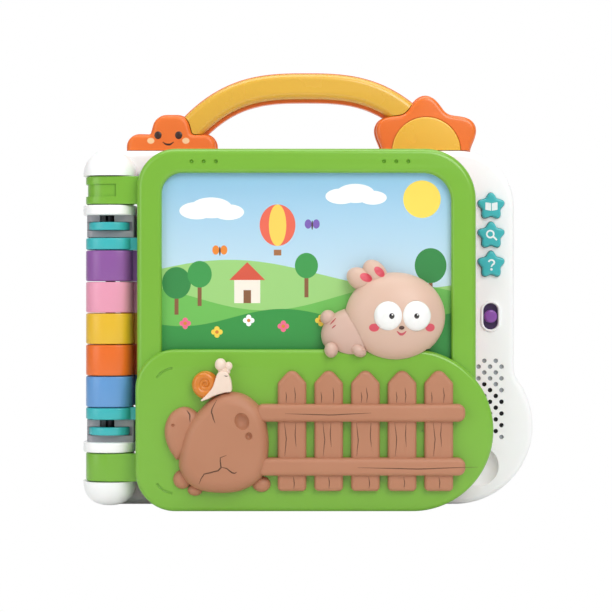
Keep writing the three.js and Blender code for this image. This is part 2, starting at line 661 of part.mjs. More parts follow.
function speakerHoles() {
  const top = speakerZ + 27.2;
  const holes = [];
  for (let row = 0; row < HOLE_ROWS; row++) {
    const columns = row % 2 ? [-2, 0, 2] : [-1, 1];
    for (const column of columns) {
      const x = STRIP_MIDDLE - 0.5 + column * HOLE_PITCH_X;
      const z = top - row * HOLE_PITCH_Z;
      const through = Math.hypot(x - speakerX, z - speakerZ) < SPEAKER_RADIUS - 3;
      const depth = through ? WALL + 1 : BLIND_HOLE_DEPTH;
      holes.push(plate(circle(x, z, HOLE_RADIUS, 6), DECK_FRONT - 1, DECK_FRONT + depth));
    }
  }
  return holes;
}

function makeColumn({ bottom, top }) {
  const outline = roundedOutline([
    [-COLUMN_HALF, COLUMN_FRONT, 4], [COLUMN_HALF + 1.5, COLUMN_FRONT, 1],
    [COLUMN_HALF + 1.5, DECK_FRONT + 1, 0], [ARM_LEFT, DECK_FRONT + 1, 0],
  ]);
  const middle = (bottom + top) / 2;
  const shaftNotch = block(-6.3, COLUMN_FRONT - 1, bottom - 1, 3.3, -BORE_RADIUS + 1, top + 1);
  const reach = CLIP_HALF + CLEARANCE;
  const slotLow = middle - CLIP_HEIGHT / 2 - CLEARANCE;
  const slotHigh = middle + CLIP_HEIGHT / 2 + CLEARANCE;
  const clipSlot = block(-reach, COLUMN_FRONT - 1, slotLow, reach, COLUMN_FRONT + 3.3, slotHigh);
  return cut(slab(outline, bottom, top), shaftNotch, clipSlot);
}

function makeSpineClip({ bottom, top }) {
  const middle = (bottom + top) / 2;
  const low = middle - CLIP_HEIGHT / 2;
  const high = middle + CLIP_HEIGHT / 2;
  const bow = cut(
    slab(squircle(CLIP_HALF, RING_POWER), low, high, 0.6),
    slab(squircle(CLIP_HALF - CLIP_THICKNESS, RING_POWER), low - 1, high + 1),
  );
  return bow.intersect(inFrontOf(COLUMN_FRONT + 3));
}

function scoopBall(radiusExtra) {
  const radius = (SCOOP_RADIUS ** 2 + SCOOP_DEPTH ** 2) / (2 * SCOOP_DEPTH);
  const at = DECK_FRONT + SCOOP_DEPTH - radius;
  const geometry = new THREE.SphereGeometry(radius + radiusExtra, 14, 12);
  geometry.translate(scoopX, at, scoopZ);
  return solid(geometry);
}

function makeFrontShell() {
  const hollow = deckSolid(DECK_FRONT + WALL, PARTING + 1, 0, 0, WALL);
  let shell = cut(deckSolid(DECK_FRONT, PARTING, BASE_EDGE, 0), hollow);
  const behindFace = inFrontOf(PARTING).subtract(inFrontOf(DECK_FRONT + 0.5));
  shell = join(shell, scoopBall(WALL - 0.2).intersect(behindFace));
  for (const [x, z] of posts) {
    shell = join(shell, plate(circle(x, z, POST_RADIUS - 0.6, 6), DECK_FRONT + 1, PARTING));
  }
  for (const [ring, column] of [[spine.ringLow, spine.columnLow], [spine.ringHigh, spine.columnHigh]]) {
    const lug = slab(squircle(RING_HALF, RING_POWER), ring.bottom, ring.top, KNUCKLE_CHAMFER);
    shell = join(shell, lug, makeColumn(column));
  }
  const bezel = (growth) => rectangle(
    switchX - SLOT_WIDTH / 2 - growth, switchZ - SLOT_HEIGHT / 2 - growth,
    switchX + SLOT_WIDTH / 2 + growth, switchZ + SLOT_HEIGHT / 2 + growth,
    SLOT_WIDTH / 2 + growth - 0.4);
  shell = join(shell, plate(bezel(BEZEL_RIM), DECK_FRONT - BEZEL_PROUD, DECK_FRONT + 1, 0.5, 0, 1));
  const starHoles = starHeights.map((z) => (
    plate(starOutline(z, STAR_CLEARANCE), DECK_FRONT - 1, DECK_FRONT + WALL + 1)));
  const slot = plate(bezel(0), DECK_FRONT - 2, DECK_FRONT + WALL + 1);
  const shaftHole = bore(BORE_RADIUS, 0, COVER_TOP);
  return cut(shell, scoopBall(0), slot, shaftHole, ...starHoles, ...speakerHoles());
}

// The battery box in the rear shell, and what is in it
const boxWidth = BATTERY_LENGTH + 2 * CONTACT_LENGTH + 2 * CLEARANCE;
const boxHeight = BATTERY_COUNT * (2 * BATTERY_RADIUS + 1) + 1;
const boxDepth = 2 * BATTERY_RADIUS + 2 * CLEARANCE;
const boxX = COVER_LEFT + 104;
const boxZ = BASE_TOP / 2 - 20;
const boxBack = BASE_BACK - DOOR_THICKNESS - CLEARANCE;
const boxOutline = (growth, radius) => rectangle(
  boxX - boxWidth / 2 - growth, boxZ - boxHeight / 2 - growth,
  boxX + boxWidth / 2 + growth, boxZ + boxHeight / 2 + growth, radius);

function makeRearShell() {
  const hollow = deckSolid(PARTING - 1, BASE_BACK - WALL, 0, 0, WALL);
  let shell = cut(deckSolid(PARTING + SEAM, BASE_BACK, 0, BASE_EDGE), hollow);
  const tub = plate(boxOutline(WALL, 2), boxBack - boxDepth - WALL, BASE_BACK - 1);
  const collar = plate(boxOutline(DOOR_LEDGE + WALL, 4), boxBack - WALL, BASE_BACK - 1);
  shell = join(shell, tub, collar);
  for (const [x, z] of posts) {
    const post = plate(circle(x, z, POST_RADIUS, 6), PARTING + SEAM, BASE_BACK - 1);
    const counterbore = plate(circle(x, z, POST_RADIUS - 1.2, 6), BASE_BACK - 5, BASE_BACK + 1);
    shell = cut(join(shell, post), counterbore);
  }
  for (const x of [cloudX, sunX]) {
    const half = TONGUE_WIDTH / 2 + CLEARANCE;
    const back = tongueBack + CLEARANCE;
    shell = cut(shell, block(x - half, PARTING - 1, BASE_TOP - WALL - 1, x + half, back, BASE_TOP + 1));
  }
  const battery = plate(boxOutline(0, 1), boxBack - boxDepth, BASE_BACK + 1);
  const doorSeat = plate(boxOutline(DOOR_LEDGE, 3), boxBack, BASE_BACK + 1);
  return cut(shell, battery, doorSeat);
}

function makeBattery(index) {
  const pitch = 2 * BATTERY_RADIUS + 1;
  const z = boxZ + (index - (BATTERY_COUNT - 1) / 2) * pitch;
  const y = boxBack - boxDepth + CLEARANCE + BATTERY_RADIUS;
  const half = BATTERY_LENGTH / 2;
  const shoulder = half - 1.5;
  const profile = [
    [0, -half], [BATTERY_RADIUS, -half], [BATTERY_RADIUS, shoulder], [2.7, shoulder], [2.7, half], [0, half],
  ];
  const geometry = new THREE.LatheGeometry(profile.map(([r, along]) => new THREE.Vector2(r, along)), 12);
  geometry.rotateZ(index % 2 ? Math.PI / 2 : -Math.PI / 2);
  geometry.translate(boxX, y, z);
  return solid(geometry);
}

function makeContact(side) {
  const wall = boxX + side * (boxWidth / 2 - CLEARANCE / 2);
  const low = boxZ - boxHeight / 2 + 1;
  const high = boxZ + boxHeight / 2 - 1;
  const front = boxBack - boxDepth + 1.5;
  const edges = [wall, wall - side * 0.8].sort((a, b) => a - b);
  let strip = block(edges[0], front, low, edges[1], boxBack - 2, high);
  for (let index = 0; index < BATTERY_COUNT; index++) {
    const z = boxZ + (index - (BATTERY_COUNT - 1) / 2) * (2 * BATTERY_RADIUS + 1);
    const tips = [wall - side * 0.4, wall - side * (CONTACT_LENGTH - CLEARANCE)].sort((a, b) => a - b);
    strip = join(strip, block(tips[0], front + 3, z - 2.5, tips[1], front + 8, z + 2.5));
  }
  return strip;
}

// The carrying handle: an arch between a cloud and a sun, moulded in two halves

function archOutline() {
  const steps = 18;
  const outer = [];
  const inner = [];
  for (let step = 0; step <= steps; step++) {
    const share = ((2 * step) / steps - 1) * 1.06;
    const drop = HANDLE_RISE * Math.abs(share) ** HANDLE_POWER;
    const slope = -Math.sign(share) * HANDLE_POWER * HANDLE_RISE * Math.abs(share) ** (HANDLE_POWER - 1);
    const along = new THREE.Vector2(HANDLE_HALF_SPAN, slope).normalize();
    const point = new THREE.Vector2(handleX + share * HANDLE_HALF_SPAN, handleFoot + HANDLE_RISE - drop);
    outer.push(point);
    inner.push(new THREE.Vector2(point.x + along.y * HANDLE_WIDTH, point.y - along.x * HANDLE_WIDTH));
  }
  return [...inner, ...outer.reverse()];
}

const cloudOutline = roundedOutline([
  [cloudX - 27, handleFoot - 9, 3],
  [cloudX + 27, handleFoot - 9, 3],
  [cloudX + 27, handleFoot + 10, 9],
  [cloudX + 12.6, handleFoot + 9.4, 7],
  [cloudX + 9.4, handleFoot + 21.6, 9],
  [cloudX - 9.4, handleFoot + 21.6, 9],
  [cloudX - 12.6, handleFoot + 9.4, 7],
  [cloudX - 27, handleFoot + 10, 9],
]);
const sunOutline = polarOutline(sunX, handleFoot - 0.6, 30, (angle) => (
  SUN_RADIUS + SUN_WAVE * Math.cos(6 * (angle - Math.PI / 2))));

function makeHandleRear() {
  const back = handleBack;
  const front = handleParting + SEAM;
  const shells = [archOutline(), cloudOutline, sunOutline].map((outline) => (
    plate(grow(outline, HANDLE_SHELL_LIP), front, back, 0, 3)));
  const half = TONGUE_WIDTH / 2;
  const foot = handleFoot - TONGUE_LENGTH;
  const tongues = [cloudX, sunX].map((x) => (
    block(x - half, front, foot, x + half, tongueBack, handleFoot + 1)));
  return join(join(...shells).intersect(above(handleFoot)), ...tongues);
}

function makeBoss(outline) {
  return plate(outline, bossFront, handleParting, 2.4).intersect(above(handleFoot));
}

function makeArch() {
  const arch = plate(archOutline(), archFront, handleParting, 2.4).intersect(above(handleFoot));
  return cut(arch, ...[cloudOutline, sunOutline].map((outline) => (
    plate(grow(outline, CLEARANCE), bossFront - 1, handleParting + 1))));
}

// A stiff leaf: a plate with a sunken field on both faces and its own knuckles
function makeLeaf(name, index) {
  const front = COVER_BACK + LEAF_GAP + index * LEAF_PITCH;
  const back = front + LEAF_THICKNESS;
  const outline = inset(coverOutline, LEAF_INSET);
  const field = inset(outline, LEAF_RIM);
  let leaf = cut(
    plate(outline, front, back),
    plate(field, front - 1, front + LEAF_FIELD_DEPTH),
    plate(field, back - LEAF_FIELD_DEPTH, back + 1),
  );
  const places = name === 'teal' ? [spine.tealLow, spine.tealHigh] : [spine[name]];
  for (const place of places) {
    leaf = join(leaf, knuckle(place), strap(place, front, back, COVER_LEFT + LEAF_INSET + LEAF_RIM / 2));
  }
  return cut(leaf, bore(BORE_RADIUS, 0, COVER_TOP));
}

// The white domes that close the spine at both ends
function makeCap({ bottom, top }, pointsUp) {
  const rises = [0, 0.4, 0.72, 0.92, 1];
  const flat = pointsUp ? bottom : top;
  const rings = rises.map((rise) => ({
    at: pointsUp ? bottom + rise * CAP_HEIGHT : top - rise * CAP_HEIGHT,
    outline: squircle(RING_HALF * Math.max(0.3, (1 - rise ** 2.3) ** (1 / 2.3)), RING_POWER),
  }));
  const dome = solid(loft(pointsUp ? rings : rings.reverse(), upwards));
  const depth = pointsUp ? CAP_BORE_DEPTH : -CAP_BORE_DEPTH;
  const [low, high] = [flat - Math.sign(depth), flat + depth].sort((a, b) => a - b);
  return cut(dome.intersect(inFrontOf(DECK_FRONT - CLEARANCE)), bore(BORE_RADIUS, low, high));
}

piece('front_shell', makeFrontShell(), WHITE);
piece('rear_shell', makeRearShell(), WHITE);
piece('spine_cap_bottom', makeCap(spine.capLow, false), WHITE);
piece('spine_cap_top', makeCap(spine.capHigh, true), WHITE);
const shaftLow = spine.capLow.top - CAP_BORE_DEPTH + CLEARANCE;
const shaftHigh = spine.capHigh.bottom + CAP_BORE_DEPTH - CLEARANCE;
piece('spine_shaft', bore(SHAFT_RADIUS, shaftLow, shaftHigh), STEEL, 0.3, 0.9);
piece('spine_clip_bottom', makeSpineClip(spine.columnLow), TEAL);
piece('spine_clip_top', makeSpineClip(spine.columnHigh), TEAL);

LEAF_NAMES.forEach((name, index) => {
  piece(`leaf_${name}`, makeLeaf(name, index), LEAF_COLOURS[name]);
});

piece('cover_frame', makeCoverFrame(), GREEN);
piece('cover_inner_panel', makeInnerPanel(), GREEN);
const cardOutline = grow(windowOutline, CARD_LAP);
piece('picture_card', plate(cardOutline, CARD_FRONT, CARD_FRONT + CARD_THICKNESS), 0xaed5e8, 0.6);
piece('ground_panel', makeGroundPanel(), GREEN);

const rock = makeRock();
piece('rock', rock, BROWN, 0.6);
piece('fence', cut(makeFence(), plate(grow(boulderOutline, CLEARANCE), -TOOL, PANEL_FRONT)), BROWN, 0.6);
piece('snail_shell', makeSnailShell(), SNAIL_ORANGE);
piece('snail_body', makeSnailBody(makeSnailShell(CLEARANCE)), SNAIL_CREAM);

const panelClear = plate(grow(panelOutline, CLEARANCE), PANEL_FRONT - CLEARANCE, COVER_BACK);
const eyeSockets = eyeXs.map((x) => makeRabbitEye(x, CLEARANCE));
piece('rabbit_head', cut(makeRabbitHead(), panelClear, ...eyeSockets), RABBIT_BEIGE, 0.5);
const lyingBody = makeRabbitBody().intersect(inFrontOf(CARD_FRONT));
piece('rabbit_body', cut(lyingBody, panelClear, makeRabbitHead(CLEARANCE)), RABBIT_BEIGE, 0.5);
piece('rabbit_eye_left', makeRabbitEye(eyeXs[0]), WHITE);
piece('rabbit_eye_right', makeRabbitEye(eyeXs[1]), WHITE);

// Star buttons with a flange behind the deck, and the rubber pad that pushes them back
const flangeFront = DECK_FRONT + WALL + CLEARANCE;
const flangeBack = flangeFront + FLANGE_THICKNESS;
const flangeRadius = STAR_PITCH / 2 - 0.2;
['top', 'middle', 'bottom'].forEach((place, index) => {
  const z = starHeights[index];
  const star = plate(starOutline(z, 0), DECK_FRONT - STAR_PROUD, flangeFront + 0.5, 1, 0, 1);
  const flange = plate(circle(starX, z, flangeRadius, 12), flangeFront, flangeBack);
  piece(`star_button_${place}`, join(star, flange), TEAL);
});
const padFront = flangeBack + STAR_TRAVEL + CLEARANCE;
const boardFront = padFront + 1.8;
const pad = rectangle(starX - 9, starHeights[2] - 9.5, starX + 9, starHeights[0] + 9.5, 3);
piece('button_pad', plate(pad, padFront, boardFront), 0x9a9a9e, 0.8);
const board = rectangle(STRIP_MIDDLE - 26, switchZ - 18, STRIP_MIDDLE + 9, starHeights[0] + 12, 2);
piece('circuit_board', plate(board, boardFront, boardFront + BOARD_THICKNESS), 0x2f6b3c, 0.6);

// The slide switch: a knob on a sliding plate behind the deck, and the switch that it works
const slideHalf = SLOT_HEIGHT / 2 + SWITCH_TRAVEL + 1;
const slide = rectangle(switchX - 6, switchZ - slideHalf, switchX + 6, switchZ + slideHalf, 1.5);
const knob = circle(switchX, switchZ, KNOB_RADIUS, 18);
piece('switch_knob', join(
  plate(slide, flangeFront, flangeFront + 1),
  plate(knob, DECK_FRONT - KNOB_PROUD, flangeFront + 0.5, 1.2, 0, 2),
), SWITCH_PURPLE);
const switchFront = flangeFront + 1 + CLEARANCE;
const switchCase = block(switchX - 4, switchFront, switchZ - 9, switchX + 4, boardFront, switchZ + 9);
piece('switch_body', switchCase, STEEL, 0.4, 0.8);

// The loudspeaker behind its holes
const speakerFront = DECK_FRONT + WALL + CLEARANCE;
const speakerProfile = [
  [0, 3], [5, 3], [SPEAKER_RADIUS - 3, 0], [SPEAKER_RADIUS, 0], [SPEAKER_RADIUS, 2.5],
  [SPEAKER_RADIUS - 5, 7], [10, 7.5], [10, SPEAKER_DEPTH], [0, SPEAKER_DEPTH],
].map(([radius, along]) => new THREE.Vector2(radius, along));
const speaker = new THREE.LatheGeometry(speakerProfile, 12);
speaker.translate(speakerX, speakerFront, speakerZ);
piece('speaker', solid(speaker), 0x3a3a3e, 0.6);

for (let index = 0; index < BATTERY_COUNT; index++) {
  piece(`battery_${index + 1}`, makeBattery(index), 0x6f7a80, 0.4, 0.5);
}
piece('battery_contact_left', makeContact(-1), STEEL, 0.3, 0.9);
piece('battery_contact_right', makeContact(1), STEEL, 0.3, 0.9);
const doorOutline = boxOutline(DOOR_LEDGE - CLEARANCE, 2.7);
piece('battery_door', plate(doorOutline, BASE_BACK - DOOR_THICKNESS, BASE_BACK), WHITE);

piece('handle_rear_shell', makeHandleRear(), ORANGE);
piece('handle_front_arch', makeArch(), HANDLE_YELLOW);
piece('cloud_boss', makeBoss(cloudOutline), ORANGE);
const discSeat = circle(sunX, handleFoot - 0.6, SUN_DISC_RADIUS + CLEARANCE, 28);
piece('sun_boss', cut(makeBoss(sunOutline), plate(discSeat, bossFront - 1, bossFront + 1)), ORANGE);
const discOutline = circle(sunX, handleFoot - 0.6, SUN_DISC_RADIUS, 28);
const disc = plate(discOutline, bossFront - SUN_DISC_PROUD, bossFront + 1 - CLEARANCE, 0.8, 0, 2);
piece('sun_disc', disc.intersect(above(handleFoot)), HANDLE_YELLOW);

// The part's origin is the middle of its box, on the floor
const box = new THREE.Box3().setFromObject(book);
book.position.set(-(box.min.x + box.max.x) / 2, -(box.min.y + box.max.y) / 2, -box.min.z);

export default book;
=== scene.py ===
# A talking learning book that stands on its lower edge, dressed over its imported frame.
# Sizes are millimetres from the spine shaft's axis and the floor, until each mesh is placed.

import json
import math

import bmesh
import bpy
from mathutils import Matrix, Vector, noise
from mathutils.bvhtree import BVHTree


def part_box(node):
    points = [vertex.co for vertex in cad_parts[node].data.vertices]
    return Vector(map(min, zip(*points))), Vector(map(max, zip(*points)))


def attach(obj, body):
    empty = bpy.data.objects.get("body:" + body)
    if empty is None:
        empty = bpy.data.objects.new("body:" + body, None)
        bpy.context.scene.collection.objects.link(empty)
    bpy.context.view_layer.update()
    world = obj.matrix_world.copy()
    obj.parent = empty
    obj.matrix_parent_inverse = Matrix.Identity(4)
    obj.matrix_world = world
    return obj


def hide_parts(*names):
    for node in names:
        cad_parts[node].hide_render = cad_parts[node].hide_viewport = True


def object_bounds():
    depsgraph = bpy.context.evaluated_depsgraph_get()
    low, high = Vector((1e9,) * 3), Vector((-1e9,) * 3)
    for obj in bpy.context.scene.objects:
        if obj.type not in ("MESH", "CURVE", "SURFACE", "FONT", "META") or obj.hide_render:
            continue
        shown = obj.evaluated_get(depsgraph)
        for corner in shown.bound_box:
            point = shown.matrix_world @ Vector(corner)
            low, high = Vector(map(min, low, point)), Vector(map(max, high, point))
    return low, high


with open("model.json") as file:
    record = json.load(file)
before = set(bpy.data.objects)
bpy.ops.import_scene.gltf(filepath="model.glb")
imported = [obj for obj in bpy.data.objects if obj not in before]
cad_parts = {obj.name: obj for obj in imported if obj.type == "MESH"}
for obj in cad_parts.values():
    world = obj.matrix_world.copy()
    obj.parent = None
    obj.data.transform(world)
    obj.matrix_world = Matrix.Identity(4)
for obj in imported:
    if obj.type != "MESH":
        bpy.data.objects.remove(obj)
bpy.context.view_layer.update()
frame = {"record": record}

# Front shell of the base: a white ABS strip with a round lobe below, injection moulded with soft
# edges. Holes for the buttons, the switch and the loudspeaker are cored in the mould.
MM = 0.001
shaft_low, shaft_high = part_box("spine_shaft")
SPINE_X = (shaft_low[0] + shaft_high[0]) / 2
SPINE_Y = (shaft_low[1] + shaft_high[1]) / 2


def span(node):
    """Lowest and highest corner of a node, in millimetres from the spine and the floor."""
    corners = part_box(node)
    return [Vector(((c[0] - SPINE_X) / MM, (c[1] - SPINE_Y) / MM, c[2] / MM)) for c in corners]


def to_linear(code):
    """A hex sRGB colour as linear red, green, blue and alpha."""
    shares = [int(code[i:i + 2], 16) / 255 for i in (1, 3, 5)]
    return [c / 12.92 if c <= 0.04045 else ((c + 0.055) / 1.055) ** 2.4 for c in shares] + [1.0]


def add_node(tree, kind, inputs=None, **settings):
    """Adds a node, sets its properties and inputs, and links an input given as a socket."""
    node = tree.nodes.new(kind)
    for key, value in settings.items():
        setattr(node, key, value)
    for key, value in (inputs or {}).items():
        if isinstance(value, bpy.types.NodeSocket):
            tree.links.new(value, node.inputs[key])
        else:
            node.inputs[key].default_value = value
    return node


def plastic(name, colour, roughness=0.3, grain=0.012, coat=0.15):
    """Moulded plastic: an even colour, a faint mottle in the gloss and a fine moulded grain.

    Scales are per metre, so a mottle is about 17 mm wide and a pore 0.4 mm.
    """
    material = bpy.data.materials.new(name)
    material.use_nodes = True
    tree = material.node_tree
    shader = tree.nodes["Principled BSDF"]
    shader.inputs["Base Color"].default_value = to_linear(colour)
    shader.inputs["Coat Weight"].default_value = coat
    shader.inputs["Coat Roughness"].default_value = 0.2
    shader.inputs["Subsurface Weight"].default_value = 0.04
    shader.inputs["Subsurface Scale"].default_value = 0.002
    where = add_node(tree, "ShaderNodeTexCoord").outputs["Object"]
    mottle = add_node(tree, "ShaderNodeTexNoise", {"Vector": where, "Scale": 60.0, "Detail": 3.0})
    gloss = add_node(tree, "ShaderNodeMapRange", {
        "Value": mottle.outputs["Fac"], "To Min": roughness - 0.01, "To Max": roughness + 0.03})
    tree.links.new(gloss.outputs["Result"], shader.inputs["Roughness"])
    pores = add_node(tree, "ShaderNodeTexNoise", {"Vector": where, "Scale": 2600.0, "Detail": 2.0})
    bump = add_node(tree, "ShaderNodeBump", {
        "Height": pores.outputs["Fac"], "Strength": grain, "Distance": 0.0002})
    tree.links.new(bump.outputs["Normal"], shader.inputs["Normal"])
    return material


def place(mesh):
    """Takes a mesh from millimetres at the spine to metres in the frame."""
    mesh.transform(Matrix.Translation((SPINE_X, SPINE_Y, 0)) @ Matrix.Scale(MM, 4))


carrier_of = {node: body for body, nodes in frame["record"]["behaviour"]["bodies"].items() for node in nodes}


def finish_piece(name, mesh, material, node=None, body=None, angle=34):
    """Makes the object of a finished mesh, which stands for its CAD node or rides on a body."""
    place(mesh)
    mesh.materials.clear()
    mesh.materials.append(material)
    mesh.shade_smooth()
    mesh.set_sharp_from_angle(angle=math.radians(angle))
    piece = bpy.data.objects.new(name, mesh)
    bpy.context.scene.collection.objects.link(piece)
    if node:
        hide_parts(node)
    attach(piece, body or carrier_of[node])
    return piece


def rounded(corners, fineness=1.2, even=None):
    """A closed outline from corners (x, z, radius), each rounded by an arc, of even steps if given."""
    outline = []
    for index, (x, z, radius) in enumerate(corners):
        here = Vector((x, z))
        back = Vector(corners[index - 1][:2]) - here
        ahead = Vector(corners[(index + 1) % len(corners)][:2]) - here
        room = min(back.length, ahead.length) / 2
        half = back.angle(ahead) / 2
        if not radius or half > math.radians(89):
            outline.append(here)
            continue
        reach = min(radius / math.tan(half), room)
        start, end = here + back.normalized() * reach, here + ahead.normalized() * reach
        steps = even or max(3, round(math.sqrt(radius) * 3 * fineness))
        centre = here + (back.normalized() + ahead.normalized()).normalized() * reach / math.cos(half)
        first, last = start - centre, end - centre
        turn = first.angle_signed(last)
        outline += [centre + Matrix.Rotation(-turn * s / steps, 2) @ first for s in range(steps + 1)]
    return [p for i, p in enumerate(outline) if (p - outline[i - 1]).length > 0.02]


def box_outline(left, bottom, right, top, radius):
    corners = [(left, bottom), (right, bottom), (right, top), (left, top)]
    return rounded([(x, z, radius) for x, z in corners])


def polar(x, z, radius_at, count=64):
    """A closed outline round a centre, its radius a function of the angle."""
    turns = [2 * math.pi * index / count for index in range(count)]
    return [Vector((x + radius_at(t) * math.cos(t), z + radius_at(t) * math.sin(t))) for t in turns]


def circle(x, z, radius, count):
    return polar(x, z, lambda t: radius, count)


def moulding(outlines, front, back, edge, smooth=5):
    """A plate between two depths, with holes where outlines nest, its edges rounded on both faces."""
    curve = bpy.data.curves.new("moulding", "CURVE")
    curve.dimensions = "2D"
    curve.fill_mode = "BOTH"
    for outline in outlines:
        spline = curve.splines.new("POLY")
        spline.points.add(len(outline) - 1)
        for point, (x, z) in zip(spline.points, outline):
            point.co = (x, z, 0, 1)
        spline.use_cyclic_u = True
    curve.bevel_depth = edge
    curve.bevel_resolution = smooth if edge else 0
    curve.offset = -edge
    curve.extrude = (back - front) / 2 - edge
    carrier = bpy.data.objects.new("moulding", curve)
    mesh = bpy.data.meshes.new_from_object(carrier)
    bpy.data.objects.remove(carrier)
    mesh.transform(Matrix.Translation((0, (front + back) / 2, 0)) @ Matrix.Rotation(math.pi / 2, 4, "X"))
    shape = bmesh.new()
    shape.from_mesh(mesh)
    bmesh.ops.remove_doubles(shape, verts=shape.verts, dist=0.001)
    bmesh.ops.recalc_face_normals(shape, faces=shape.faces)
    shape.to_mesh(mesh)
    shape.free()
    return mesh


def slab(front, back, left=-40, bottom=-20, right=300, top=260):
    """A block between two depths, which keeps or cuts what lies in it."""
    return moulding([box_outline(left, bottom, right, top, 0)], front, back, 0)


def as_mesh(shape, name, outwards=False):
    """Ends a bmesh as a mesh, with its faces turned outwards if asked."""
    if outwards:
        bmesh.ops.recalc_face_normals(shape, faces=shape.faces)
    mesh = bpy.data.meshes.new(name)
    shape.to_mesh(mesh)
    shape.free()
    return mesh


def joined(meshes):
    """Several meshes as one, without welding them."""
    shape = bmesh.new()
    for mesh in meshes:
        shape.from_mesh(mesh)
    return as_mesh(shape, "joined")


def carved(mesh, cutters, operation="DIFFERENCE"):
    """A mesh after exact booleans with others."""
    body = bpy.data.objects.new("body", mesh)
    bpy.context.scene.collection.objects.link(body)
    tools = []
    for cutter in cutters:
        tool = bpy.data.objects.new("tool", cutter)
        bpy.context.scene.collection.objects.link(tool)
        tools.append(tool)
        modifier = body.modifiers.new("cut", "BOOLEAN")
        modifier.object = tool
        modifier.operation = operation
        modifier.solver = "EXACT"
    result = bpy.data.meshes.new_from_object(body.evaluated_get(bpy.context.evaluated_depsgraph_get()))
    for item in [body, *tools]:
        bpy.data.objects.remove(item)
    return result


def ball(centre, radii, tilt=0, rings=20):
    """An ellipsoid, tilted in the plane of the cover."""
    shape = bmesh.new()
    bmesh.ops.create_uvsphere(shape, u_segments=2 * rings, v_segments=rings, radius=1)
    turn = Matrix.Rotation(math.radians(-tilt), 4, "Y")
    shape.transform(Matrix.Translation(centre) @ turn @ Matrix.Diagonal((*radii, 1)))
    return as_mesh(shape, "ball")


def stepped(mesh, count, offset, finish):
    """Repeats a mesh along a line with a node tree, and hands back the realised copies as one mesh."""
    tree = bpy.data.node_groups.new("repeat along a line", "GeometryNodeTree")
    face = tree.interface
    face.new_socket("Geometry", in_out="INPUT", socket_type="NodeSocketGeometry")
    count_in = face.new_socket("Count", in_out="INPUT", socket_type="NodeSocketInt")
    offset_in = face.new_socket("Offset", in_out="INPUT", socket_type="NodeSocketVector")
    finish_in = face.new_socket("Finish", in_out="INPUT", socket_type="NodeSocketMaterial")
    face.new_socket("Geometry", in_out="OUTPUT", socket_type="NodeSocketGeometry")
    given = tree.nodes.new("NodeGroupInput")
    line = add_node(tree, "GeometryNodeMeshLine", {
        "Count": given.outputs["Count"], "Offset": given.outputs["Offset"]})
    copies = add_node(tree, "GeometryNodeInstanceOnPoints", {
        "Points": line.outputs["Mesh"], "Instance": given.outputs["Geometry"]})
    real = add_node(tree, "GeometryNodeRealizeInstances", {"Geometry": copies.outputs["Instances"]})
    coated = add_node(tree, "GeometryNodeSetMaterial", {
        "Geometry": real.outputs["Geometry"], "Material": given.outputs["Finish"]})
    out = tree.nodes.new("NodeGroupOutput")
    tree.links.new(coated.outputs["Geometry"], out.inputs["Geometry"])
    carrier = bpy.data.objects.new("repeat", mesh)
    bpy.context.scene.collection.objects.link(carrier)
    modifier = carrier.modifiers.new("repeat", "NODES")
    modifier.node_group = tree
    modifier[count_in.identifier] = count
    modifier[offset_in.identifier] = offset
    modifier[finish_in.identifier] = finish
    carrier.update_tag()
    result = bpy.data.meshes.new_from_object(
        carrier.evaluated_get(bpy.context.evaluated_depsgraph_get()))
    bpy.data.objects.remove(carrier)
    return result


shell_high = span("front_shell")[1]
rear_low, rear_high = span("rear_shell")
DECK = 12.3  # depth of the deck's face behind the shaft's axis
LOBE_RADIUS = 47.7
LOBE_CENTRE = (shell_high.x - LOBE_RADIUS, LOBE_RADIUS)
STRIP_RIGHT = shell_high.x - 11.4
BODY_LEFT = 16.8
ARM_LEFT = -12.0
ARM_GAPS = [(16.5, 34.0), (53.0, 161.8), (180.8, 198.3)]  # where the knuckles turn
EDGE_RADIUS = 4

# Cool white ABS, which reads as clean and slightly glossy.
white = plastic("white ABS", "#fcfcfb", roughness=0.32)


def base_outline():
    """Arms, waist and lobe of the base, seen from the front."""
    meet = math.acos((STRIP_RIGHT - LOBE_CENTRE[0]) / LOBE_RADIUS)
    arc = [(LOBE_CENTRE[0] + LOBE_RADIUS * math.cos(a), LOBE_CENTRE[1] + LOBE_RADIUS * math.sin(a), 0)
           for a in (-math.pi / 2 + (meet - 0.06 + math.pi / 2) * step / 48 for step in range(49))]
    meet_z = LOBE_CENTRE[1] + LOBE_RADIUS * math.sin(meet)
    waist = [(STRIP_RIGHT + 0.25, meet_z + 1.6, 0), (STRIP_RIGHT, meet_z + 5, 0)]
    corners = [(ARM_LEFT, 0, 5), *arc, *waist, (STRIP_RIGHT, rear_high.z, 34), (ARM_LEFT, rear_high.z, 5)]
    for low, high in reversed(ARM_GAPS):
        corners += [(ARM_LEFT, high, 5), (BODY_LEFT, high, 1), (BODY_LEFT, low, 1), (ARM_LEFT, low, 5)]
    return rounded(corners)


star_boxes = {level: span(f"star_button_{level}") for level in ("top", "middle", "bottom")}
STAR_RADIUS, STAR_WAVE = 7.1, 1.2


def star_outline(x, z, growth=0.0):
    return polar(x, z, lambda t: STAR_RADIUS + growth + STAR_WAVE * math.cos(5 * (t - math.pi / 2)), 90)


def middle(corners):
    return (corners[0] + corners[1]) / 2


